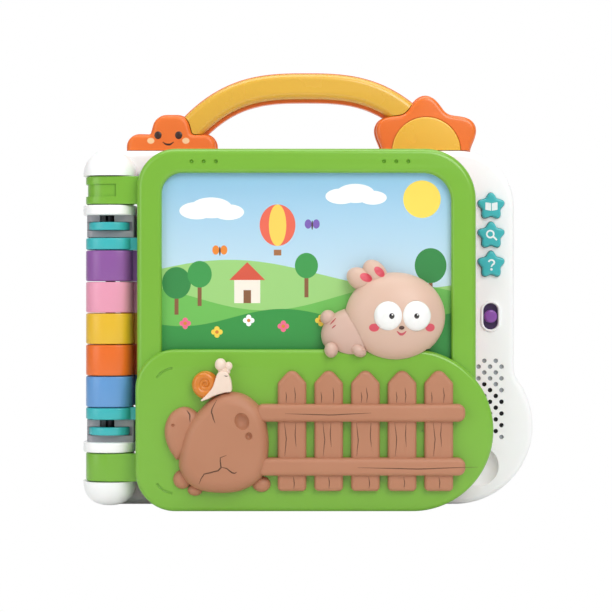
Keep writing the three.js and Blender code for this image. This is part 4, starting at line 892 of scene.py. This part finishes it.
boulder = stone(smooth_outline(BOULDER), rock_low.y, 7)
small = stone(smooth_outline(SMALL_STONE), PANEL_FRONT - 6, 5)
pebbles = [ball((x, PANEL_FRONT, z), (rx, 4.2, rz), 0, 16)
           for x, z, rx, rz in ((45, 19.8, 5.4, 5.6), (52.4, 13.6, 4.4, 3.4), (91.2, 17, 5.4, 4.6))]
dents = [ball((80.1, rock_low.y - 1.0, 54.4), (4.3, 4.6, 5.2), 20, 16),
         ball((84.1, rock_low.y - 0.4, 45.9), (2.1, 2.6, 2.3), 0, 12),
         ball((39.8, PANEL_FRONT - 6.4, 51.8), (1.2, 1.6, 1), 0, 10)]
rocks = carved(carved(carved(boulder, [small, *pebbles], "UNION"), dents), [front_cut], "INTERSECT")
rock_face = front_of(rocks)
finish_piece("rock_skin", rocks, brown, "rock", angle=50)
ROCK_CRACKS = [
    [(65.4, 66.6), (62.9, 61.9), (62.5, 59.7), (63.7, 55.9), (64.6, 53.4)],
    [(71.3, 34.9), (67.7, 33.5), (67.5, 31.4), (68.1, 27.9), (66.3, 25.9), (58.2, 23.9), (56.5, 21.2),
     (55.1, 17.9)],
    [(68.1, 27.9), (71.3, 27.2), (74.7, 24.6), (76, 24.4), (77.4, 25.2)],
    [(47.8, 60.4), (49.6, 58), (49.8, 53.6)]]
rock_lines = [crack(points, rock_face, 0.75) for points in ROCK_CRACKS]
finish_piece("rock_cracks", joined(rock_lines), crack_brown, body="cover")

# Snail: a cream body with four round bumps for its eyes and an orange coiled shell, two small ABS
# mouldings pressed on over the boulder's top.
shell_box = span("snail_shell")
snail = Vector((shell_box[0].x + 7.5, 0, shell_box[1].z - 7.5))

# Cream ABS, soft and nearly dull beside the glossy shell.
cream = plastic("cream ABS", "#efd8c6", roughness=0.4, coat=0.1)
# Amber ABS, glossy, so that each turn of the coil carries its own highlight.
snail_orange = plastic("amber ABS", "#d67e22", roughness=0.3, coat=0.3)
TURNS, AROUND, ALONG = 2.3, 16, 150
coil_loops = []
for step in range(ALONG + 1):
    share = step / ALONG
    turn = math.radians(200) + TURNS * 2 * math.pi * share
    thick = 0.6 + 2.6 * share ** 1.1
    radius = 0.3 + 5.8 * share ** 1.05
    out = Vector((math.cos(turn), 0, math.sin(turn)))
    centre = Vector((snail.x + radius * math.cos(turn), PANEL_FRONT - 4.4 + 1.6 * share,
                     snail.z + radius * math.sin(turn)))
    coil_loops.append([centre + out * thick * math.cos(a) + Vector((0, thick * 1.25 * math.sin(a), 0))
                       for a in (2 * math.pi * k / AROUND for k in range(AROUND))])
hub = ball((snail.x, PANEL_FRONT - 1.8, snail.z), (7.4, 3.0, 7.4))
coil = skinned(coil_loops, "coil")
finish_piece("snail_shell_skin", joined([coil, hub]), snail_orange, "snail_shell", angle=70)
BODY_POINTS = [(-2.6, -9.7), (1, -9), (5.2, -6.9), (11.2, -5), (15.2, -4.2), (15.3, 0.4), (14.4, 3.8),
               (12.6, 6.9), (9.6, 7.4), (7.2, 6.2), (6.1, 3.4), (4.2, -2), (0.8, -6.2)]
body_outline = smooth_outline([(snail.x + x, snail.z + z) for x, z in BODY_POINTS])
snail_body = moulding([body_outline], PANEL_FRONT - 8.2, PANEL_FRONT, 0.9, 4)
snail_face = front_of(snail_body)
finish_piece("snail_body_skin", snail_body, cream, "snail_body", angle=80)
eyes = [ball((snail.x + x, PANEL_FRONT - proud, snail.z + z), radii, tilt, rings)
        for x, z, proud, radii, tilt, rings in (
            (8.9, 11.2, 4.6, (3.4, 3.2, 3.7), 0, 24), (10, 8, 4, (2.7, 2.6, 2.6), 0, 20),
            (13.5, 10.3, 4.4, (2.3, 2.4, 2.6), 0, 20), (12.8, 7.6, 4, (1.7, 2.4, 2.3), 18, 16))]
finish_piece("snail_eyes", joined(eyes), cream, body="cover", angle=80)
smile = [(snail.x + x, snail.z + z) for x, z in ((11, 4.9), (12.2, 4.6), (13.4, 4.9))]
finish_piece("snail_smile", crack(smile, snail_face, 0.5), crack_brown, body="cover")

# Rabbit: a hollow beige ABS relief pressed on over the picture. Its head has a plain round face with
# two equal white eyes, its ears and cheeks are sprayed red, and its body lies behind with two paws.
eye_boxes = [span("rabbit_eye_left"), span("rabbit_eye_right")]
CARD = card_low.y
rabbit = Vector((window[2] - 33.2, CARD - 5, panel_high.z + 19.2))
HEAD = (29.4, 15.5, 26.0)


def sprayed(name, colour, paint, spots, soft=0.35):
    """A dull moulding with soft-edged sprayed ovals, each (x, z, half width, half height, turn)."""
    material = plastic(name, colour, roughness=0.42, grain=0.02, coat=0.05)
    tree = material.node_tree
    shader = tree.nodes["Principled BSDF"]
    where = add_node(tree, "ShaderNodeTexCoord").outputs["Object"]
    layer = to_linear(colour)
    for x, z, half_x, half_z, turn in spots:
        moved = chained(tree, where, [(VECTORS, "SUBTRACT", (SPINE_X + x * MM, 0, z * MM))])
        turned = add_node(tree, "ShaderNodeVectorRotate", {
            "Vector": moved, "Angle": math.radians(turn)}, rotation_type="Y_AXIS")
        far = chained(tree, turned.outputs[0], [
            (VECTORS, "MULTIPLY", (1 / (half_x * MM), 0, 1 / (half_z * MM))), (VECTORS, "LENGTH")])
        mask = add_node(tree, "ShaderNodeMapRange", {
            "Value": far, "From Min": 1 - soft, "From Max": 1.0, "To Min": 1.0, "To Max": 0.0})
        mixed = add_node(tree, "ShaderNodeMix", {
            "Factor": mask.outputs["Result"], 6: layer, 7: to_linear(paint)}, data_type="RGBA")
        layer = mixed.outputs[2]
    tree.links.new(layer, shader.inputs["Base Color"])
    return material


EARS = ((-20.2, 21.9, 150), (-11.6, 25.5, 128))
ear_spots = [(rabbit.x - 17.2, rabbit.z + 22.9, 4.0, 2.6, -22),
             (rabbit.x - 9.4, rabbit.z + 26.2, 4.0, 2.4, -45)]
cheek_z = rabbit.z - 6.2
cheeks = [(156.6, cheek_z, 3.1, 2.5, 0), (189.2, cheek_z, 3.0, 2.5, 0)]
beige = sprayed("beige ABS, sprayed", "#dab8a4", "#d94f60", [*ear_spots, *cheeks], 0.12)
head = ball(rabbit, HEAD, 0, 40)
ears = [ball((rabbit.x + dx, rabbit.y, rabbit.z + dz), (8.8, 6.4, 6.4), tilt, 24) for dx, dz, tilt in EARS]
ear_dishes = [ball((x, rabbit.y - 9.4, z), (rx + 0.5, 3.6, rz + 0.5), tilt, 20)
              for x, z, rx, rz, tilt in ear_spots]
over_card = slab(PANEL_FRONT - 40, CARD - 0.02, bottom=panel_high.z + 0.3)
over_panel = slab(PANEL_FRONT - 40, PANEL_FRONT - 0.3, top=panel_high.z + 0.4)
room = carved(over_card, [over_panel], "UNION")
EYE_RADIUS = 8.7
eye_middle_x = middle((middle(eye_boxes[0]).x, middle(eye_boxes[1]).x))
eye_middles = [Vector((eye_middle_x + side * (EYE_RADIUS - 0.8), 0, rabbit.z + 0.6)) for side in (-1, 1)]
sockets = [ball((m.x, corners[0].y + 3.0, m.z), (EYE_RADIUS + 0.1, 5.0, EYE_RADIUS + 0.2), 0, 28)
           for m, corners in zip(eye_middles, eye_boxes)]
head = carved(carved(carved(head, ears, "UNION"), [*ear_dishes, *sockets]), [room], "INTERSECT")
head_face = front_of(head)
finish_piece("rabbit_head_skin", head, beige, "rabbit_head", angle=42)

# Eye white and pupil have the most gloss of the whole cover, which makes the eyes look wet.
eye_white = plastic("eye white ABS", "#f7f7f4", roughness=0.2, coat=0.5)
pupil_dark = plastic("pupil print", "#2b2624", roughness=0.2, coat=0.6)
for side, (name, look) in enumerate((("left", 1.3), ("right", 0.1))):
    m, front = eye_middles[side], eye_boxes[side][0].y
    eye = ball((m.x, front + 3.0, m.z), (EYE_RADIUS, 5.0, EYE_RADIUS + 0.1), 0, 32)
    finish_piece(f"rabbit_eye_{name}_skin", eye, eye_white, f"rabbit_eye_{name}")
    pupil = ball((m.x + look, front - 1.45, m.z), (1.9, 0.75, 2.0))
    finish_piece(f"rabbit_pupil_{side}", pupil, pupil_dark, body="cover")
    # A painted highlight: a small white dot over the pupil.
    glint = ball((m.x + look + 0.6, front - 2.1, m.z + 0.7), (0.5, 0.2, 0.5), 0, 10)
    finish_piece(f"rabbit_glint_{side}", glint, eye_white, body="cover")
nose_x, nose_z = middle((eye_middles[0].x, eye_middles[1].x)) - 0.5, rabbit.z - 6.2
nose = ball((nose_x, head_face(nose_x, nose_z), nose_z), (1.6, 1.1, 1.1), 0, 16)

# Printed inks, thin and a little duller than the eyes.
nose_brown = plastic("nose brown", "#4a2a24", roughness=0.3)
mouth_red = plastic("mouth print", "#c9505c", roughness=0.4)
stroke_red = plastic("red brown print", "#b5484c", roughness=0.4)
finish_piece("rabbit_nose", nose, nose_brown, body="cover")
smile = [(nose_x + dx, nose_z - 2 - 1.9 * math.cos(dx / 2.8 * math.pi / 2))
         for dx in (-2.8, -1.7, -0.6, 0.6, 1.7, 2.8)]
finish_piece("rabbit_smile", crack(smile, head_face, 1.5), mouth_red, body="cover")
torso_x = rabbit.x - 23.9
torso = ball((torso_x, CARD - 3, rabbit.z - 9.6), (19.6, 11, 15), 8, 32)
tail = ball((torso_x - 15.4, CARD - 4, rabbit.z - 0.6), (4.6, 5, 4.5))
paws = [ball((torso_x - 13.6, PANEL_FRONT - 1, rabbit.z - 19.4), (4.0, 5.2, 4.5)),
        ball((torso_x + 2.4, PANEL_FRONT - 1, rabbit.z - 19.6), (4.9, 5.2, 3.7), -35)]
toes = [ball((torso_x + dx + way, PANEL_FRONT - 6.6, rabbit.z - 21.9), (0.35, 0.9, 1.7), 0, 8)
        for dx in (-13.4, 3.2) for way in (-1.3, 1.3)]
off_head = ball(rabbit, [r + 0.2 for r in HEAD], 0, 40)
body = carved(carved(carved(torso, [tail, *paws], "UNION"), [*toes, off_head]), [room], "INTERSECT")
body_face = front_of(body)

# A shade greyer than the head, with the faint mark where the plastic was let into the mould.
body_beige = sprayed("beige ABS", "#d2b0a0", "#c98f77", [(torso_x, rabbit.z + 3, 0.5, 0.5, 0)])
finish_piece("rabbit_body_skin", body, body_beige, "rabbit_body", angle=42)
strokes = [crack([(torso_x + x0, rabbit.z + z0), (torso_x + x1, rabbit.z + z1)], body_face, 0.8)
           for x0, z0, x1, z1 in ((-14.4, -4.6, -10.8, -0.8), (-13.3, -6.8, -11, -4.6))]
finish_piece("rabbit_strokes", joined(strokes), stroke_red, body="cover")

# Star buttons: teal ABS caps that stand out of the deck on a flange, each printed in white with a plain
# sign: an open book, a magnifying glass and a question mark.

# White pad ink, nearly matt on the glossy cap.
ink = plastic("white pad print", "#f4fbfb", roughness=0.4)
INK_DEPTH = 0.04


def star_sign(level, x, z):
    """Groups of nested outlines that make a star's sign."""
    if level == "top":
        left_page = [(-3.7, -2.1, 0.4), (-0.25, -2.7, 0.2), (-0.25, 1.9, 0.2), (-3.7, 2.5, 0.4)]
        right_page = [(0.25, -2.7, 0.2), (3.7, -2.1, 0.4), (3.7, 2.5, 0.4), (0.25, 1.9, 0.2)]
        return [[rounded([(x + dx, z + dz, r) for dx, dz, r in page])] for page in (left_page, right_page)]
    if level == "middle":
        grip = rounded([(x + 0.9, z - 1.2, 0.2), (x + 3.0, z - 3.3, 0.4), (x + 3.7, z - 2.5, 0.4),
                        (x + 1.6, z - 0.4, 0.2)])
        return [[circle(x - 0.7, z + 0.8, radius, 40) for radius in (2.6, 1.6)], [grip]]
    turns = [math.radians(170 - 12 * k) for k in range(21)]
    outside, inside = ([Vector((x + half_x * math.cos(t), z + 1.3 + half_z * math.sin(t))) for t in turns]
                       for half_x, half_z in ((2.2, 2.0), (1.15, 1.0)))
    stem = [Vector((x + 0.5, z - 1.3)), Vector((x - 0.5, z - 1.3))]
    return [[outside + stem + inside[::-1]], [circle(x, z - 2.9, 0.75, 24)]]


for level, (cap_low, cap_high) in star_boxes.items():
    m = middle((cap_low, cap_high))
    front, back = cap_low.y, cap_high.y
    cap = moulding([star_outline(m.x, m.z, -0.02)], front, back - 0.6, 1.3, 6)
    flange = moulding([star_outline(m.x, m.z, 1)], back - 1.1, back, 0)
    finish_piece(f"star_button_{level}_skin", joined([cap, flange]), teal, f"star_button_{level}")
    sign = [moulding(outlines, front - INK_DEPTH, front + 0.2, 0) for outlines in star_sign(level, m.x, m.z)]
    finish_piece(f"star_sign_{level}", joined(sign), ink, body=f"star_{level}")

# Slide switch: a white oval rim round a slot in the deck and a purple ABS knob, which carries a plate
# behind the slot and slides up and down with it. The plate is painted dark as the shade in the slot.
RIM_PROUD = 0.8
rim_outer = box_outline(knob_x - SLOT_HALF[0] - 1.6, knob_z - SLOT_HALF[1] - 1.4,
                        knob_x + SLOT_HALF[0] + 1.6, knob_z + SLOT_HALF[1] + 1.4, 5.8)
rim = moulding([rim_outer, slot_outline], DECK - RIM_PROUD - 0.6, DECK + 0.6, 0.9, 5)
finish_piece("switch_rim", rim, white, body="base")

# Purple ABS, glossy on the knob; the plate is painted dark and dull as the shade of the slot.
slide_purple = plastic("purple ABS", "#8a4aa8", roughness=0.3, coat=0.3)
plate_shade_purple = plastic("slide plate purple, painted dark as shade", "#43265a", roughness=0.4)
KNOB_RADIUS, PLATE_HALF = 3.95, (6, 12.5)
knob = moulding([circle(knob_x, knob_z, KNOB_RADIUS, 48)], knob_low.y, DECK + 5, 1.4, 6)
finish_piece("switch_knob_skin", knob, slide_purple, "switch_knob")
plate_outline = box_outline(
    knob_x - PLATE_HALF[0], knob_z - PLATE_HALF[1], knob_x + PLATE_HALF[0], knob_z + PLATE_HALF[1], 1.5)
plate = moulding([plate_outline], DECK + 2.3, DECK + 3.3, 0)
finish_piece("switch_slide_plate", plate, plate_shade_purple, body="switch")

# Loudspeaker: a paper cone in a steel basket, screwed behind the holes of the deck. A round black disc and a
# grey sheet lie between the deck and the cone, both painted shade seen in the holes.
speaker_low, speaker_high = span("speaker")
speaker_x, speaker_z = middle((speaker_low.x, speaker_high.x)), middle((speaker_low.z, speaker_high.z))

# Black and matt: painted shade, which stands for the dark inside behind the open holes; the cone has the
# same black.
grille_shade_black = plastic("black painted shade behind the grille", "#17171a", roughness=0.9, coat=0.0)
# Grey and matt: painted shade on the floors of the holes that the black disc doesn't reach.
grille_shade_grey = plastic("grey painted shade in the grille", "#a3a6ab", roughness=0.7, coat=0.0)
SPEAKER_PROFILE = [(0, 18), (2.5, 18), (7, 13), (7.5, 10), (speaker_high.y - speaker_low.y, 10)]
cone = [(speaker_low.y + depth, circle(speaker_x, speaker_z, radius, 48))
        for depth, radius in SPEAKER_PROFILE]
finish_piece("speaker_skin", lofted(cone), grille_shade_black, "speaker")
backing = moulding([circle(speaker_x, speaker_z - 3.2, 17.5, 64)], DECK + 1.1, DECK + 1.2, 0)
finish_piece("grille_shade_disc", backing, grille_shade_black, body="base")
floor_outline = box_outline(grille_x - 9.5, grille_top - 49, grille_x + 9.5, grille_top + 3, 4)
floor = moulding([floor_outline], DECK + 1.24, DECK + 1.34, 0)
finish_piece("grille_floor", floor, grille_shade_grey, body="base")

# Carrying handle: an arch between a cloud and a sun. The orange rear half is one ABS moulding, and the
# yellow arch, the orange bosses and the yellow disc are pressed into its front.
arch_low, arch_high = span("handle_front_arch")
handle_low, handle_high = span("handle_rear_shell")
cloud_low, sun_low, disc_low = (span(node)[0] for node in ("cloud_boss", "sun_boss", "sun_disc"))
HANDLE_FOOT = cloud_low.z
HANDLE_RISE = arch_high.z - HANDLE_FOOT
HANDLE_HALF_SPAN, HANDLE_POWER, HANDLE_WIDTH = 91, 2.85, 15.3
handle_x = (cover_plate[0] + cover_plate[2]) / 2 - 0.1
sun_x, cloud_x = handle_x + 73.3, handle_x - 82.3
SUN_Z = HANDLE_FOOT - 0.6

# Orange and yellow ABS, both glossy, so that the rolled edges carry a bright line.
orange = plastic("orange ABS", "#ee7424", roughness=0.3, coat=0.25)
yellow = plastic("golden yellow ABS", "#e4b23c", roughness=0.26, coat=0.4)
disc_yellow = plastic("yellow disc ABS", "#efb93a", roughness=0.26, coat=0.4)


def arch_shape(growth=0.0, inwards=0.0):
    """The arch's band: a flat-topped outer curve and its offset inwards."""
    outer, inner = [], []
    for step in range(121):
        share = (step / 60 - 1) * 1.05
        drop = HANDLE_RISE * abs(share) ** HANDLE_POWER
        slope = -math.copysign(HANDLE_POWER * HANDLE_RISE * abs(share) ** (HANDLE_POWER - 1), share)
        along = Vector((HANDLE_HALF_SPAN, slope)).normalized()
        point = Vector((handle_x + share * HANDLE_HALF_SPAN, HANDLE_FOOT + HANDLE_RISE - drop))
        across = Vector((along.y, -along.x))
        outer.append(point - across * growth)
        inner.append(point + across * (HANDLE_WIDTH + inwards))
    return inner + outer[::-1]


def grown(outline, distance):
    """An outline moved outwards."""
    moved = []
    for index, point in enumerate(outline):
        first = (point - outline[index - 1]).normalized()
        second = (outline[(index + 1) % len(outline)] - point).normalized()
        along = (first + second).normalized()
        moved.append(point + Vector((along.y, -along.x)) * distance / max(0.5, along.dot(first)))
    return moved


def cloud_shape(growth=0.0):
    """Three bumps over a flat foot."""
    corners = [(-27, -9, 3), (27, -9, 3), (27, 10, 9.3), (12.6, 9.6, 2.2), (9.4, 21.6, 10), (-9.4, 21.6, 10),
               (-12.6, 9.6, 2.2), (-27, 10, 9.3)]
    return grown(rounded([(cloud_x + x, HANDLE_FOOT + z, radius) for x, z, radius in corners], 1.6), growth)


def sun_shape(growth=0.0):
    """Six soft rays, one of them straight up."""
    return polar(sun_x, SUN_Z, lambda t: 30.4 + growth + 3.7 * math.cos(6 * (t - math.pi / 2)), 144)


def above_foot(front, back):
    """A block over the top edge of the base, between two depths."""
    return slab(front, back, -60, HANDLE_FOOT, 320, 320)


split = handle_low.y
REAR_OVERLAP = 0.9
rear_shapes = [moulding([shape], split - 3 - step, handle_high.y - step, 2.8, 6) for shape, step in (
    (arch_shape(REAR_OVERLAP, 1.9), 0.6), (cloud_shape(REAR_OVERLAP), 0), (sun_shape(REAR_OVERLAP), 0))]
rear = carved(carved(rear_shapes[0], rear_shapes[1:], "UNION"), [above_foot(split, 80)], "INTERSECT")
finish_piece("handle_rear_shell_skin", rear, orange, "handle_rear_shell")
before_split = above_foot(-60, split - 0.3)
boss_cuts = [moulding([shape], 0, split + 8, 0) for shape in (cloud_shape(0.35), sun_shape(0.35))]
arch = carved(moulding([arch_shape()], arch_low.y, split + 5, 3.8, 9), boss_cuts)
arch = carved(arch, [before_split], "INTERSECT")
finish_piece("handle_front_arch_skin", arch, yellow, "handle_front_arch")
cheek = sprayed("orange ABS, sprayed cheeks", "#ee7424", "#f9cf9d", [
    (cloud_x + dx, HANDLE_FOOT + 5.8, 2.4, 2.0, 0) for dx in (-12.4, 9)], 0.2)
cloud = moulding([cloud_shape()], cloud_low.y, split + 4, 3.0, 8)
finish_piece("cloud_boss_skin", carved(cloud, [before_split], "INTERSECT"), cheek, "cloud_boss")

# Dark pad ink, a little glossier than the cloud.
face_print = plastic("dark face print", "#3a1d12", roughness=0.35)
cloud_face = [ball((cloud_x + dx, cloud_low.y, HANDLE_FOOT + 9.2), (2.2, 0.5, 2.4), 0, 14)
              for dx in (-8, 4.6)]
smile = [(cloud_x + dx, HANDLE_FOOT + 5.2 - 1.8 * math.cos((dx + 1.7) / 3.6 * math.pi / 2))
         for dx in (-5.2, -3.8, -2.4, -1, 0.4, 1.8)]
cloud_face.append(crack(smile, lambda u, w: cloud_low.y + 0.02, 1.2))
finish_piece("cloud_face", joined(cloud_face), face_print, body="base")
sun = moulding([sun_shape()], sun_low.y, split + 4, 3.0, 8)
disc_cut = moulding([circle(sun_x, SUN_Z, 21.3, 96)], sun_low.y - 2, sun_low.y + 1, 0)
sun = carved(carved(sun, [disc_cut]), [before_split], "INTERSECT")
finish_piece("sun_boss_skin", sun, orange, "sun_boss")
disc = moulding([circle(sun_x, SUN_Z, 20.9, 96)], disc_low.y, disc_low.y + 4, 1.0, 6)
finish_piece("sun_disc_skin", carved(disc, [above_foot(-60, 80)], "INTERSECT"), disc_yellow, "sun_disc")

# The studio: a pale sweep of paper under and behind the book, a large soft key from the upper right, a
# fill from the left and a top light. The camera sees the paper as plain white.
low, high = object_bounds()
SWEEP_BACK, SWEEP_BEND, SWEEP_TOP = 0.55, 0.5, 2.6
sweep_profile = [(-2.2, 0.0), (SWEEP_BACK, 0.0)]
sweep_profile += [(SWEEP_BACK + SWEEP_BEND * math.sin(a), SWEEP_BEND - SWEEP_BEND * math.cos(a))
                  for a in (math.pi / 2 * s / 16 for s in range(1, 17))]
sweep_profile += [(SWEEP_BACK + SWEEP_BEND, SWEEP_TOP)]
sweep_mesh = ribbon([[(x, y, z - 0.0002) for x in (-2.6, 2.6)] for y, z in sweep_profile], "sweep", False)
sweep_mesh.shade_smooth()

# Matt paper, which the lights fall on for the book, and which glows evenly for the camera.
paper = bpy.data.materials.new("white paper sweep")
paper.use_nodes = True
tree = paper.node_tree
shader = tree.nodes["Principled BSDF"]
shader.inputs["Base Color"].default_value = to_linear("#f2f2f2")
shader.inputs["Roughness"].default_value = 0.9
seen = add_node(tree, "ShaderNodeLightPath").outputs["Is Camera Ray"]
glow = add_node(tree, "ShaderNodeEmission", {"Color": (1, 1, 1, 1), "Strength": 1.0})
mixed = add_node(tree, "ShaderNodeMixShader", {"Fac": seen, 1: shader.outputs[0], 2: glow.outputs[0]})
tree.links.new(mixed.outputs[0], tree.nodes["Material Output"].inputs["Surface"])
sweep_mesh.materials.append(paper)
backdrop = bpy.data.objects.new("sweep", sweep_mesh)
bpy.context.scene.collection.objects.link(backdrop)


def soft_light(name, where, target, size, power):
    """A rectangular lamp, sized in metres and given in watts, that faces its target."""
    lamp = bpy.data.lights.new(name, "AREA")
    lamp.shape = "RECTANGLE"
    lamp.size, lamp.size_y = size
    lamp.energy = power
    carrier = bpy.data.objects.new(name, lamp)
    carrier.location = where
    carrier.rotation_euler = (Vector(target) - Vector(where)).to_track_quat("-Z", "Y").to_euler()
    bpy.context.scene.collection.objects.link(carrier)


aim = ((low[0] + high[0]) / 2, 0, 0.13)
soft_light("key", (0.55, -1.1, 0.95), aim, (0.8, 0.8), 10.0)
soft_light("fill", (-0.95, -0.9, 0.5), aim, (0.8, 1.0), 3.9)
soft_light("top", (0.0, -0.1, 1.3), aim, (1.2, 0.7), 7.5)
world = bpy.data.worlds.new("studio air")
bpy.context.scene.world = world
world.use_nodes = True
world.node_tree.nodes["Background"].inputs["Color"].default_value = (0.97, 0.98, 1, 1)
world.node_tree.nodes["Background"].inputs["Strength"].default_value = 0.34
bpy.context.scene.view_settings.view_transform = "Standard"

# Camera: level, a metre from the spine's plane, its lens and shift set by where lines meet in the photo.
PHOTO_SIDE = 612
VANISHING = (300, 290)
MM_PER_PIXEL = 0.6
DISTANCE = 1.0
VANISHING_X, VANISHING_Z = 113.7, 130.4
camera = bpy.data.cameras.new("camera")
camera.sensor_width = 36
camera.lens = 36 * DISTANCE / (PHOTO_SIDE * MM_PER_PIXEL * MM)
camera.shift_x = (PHOTO_SIDE / 2 - VANISHING[0]) / PHOTO_SIDE
camera.shift_y = (VANISHING[1] - PHOTO_SIDE / 2) / PHOTO_SIDE
eye = bpy.data.objects.new("camera", camera)
eye.location = (SPINE_X + VANISHING_X * MM, SPINE_Y - DISTANCE, VANISHING_Z * MM)
eye.rotation_euler = (math.pi / 2, 0, 0)
bpy.context.scene.collection.objects.link(eye)
bpy.context.scene.camera = eye
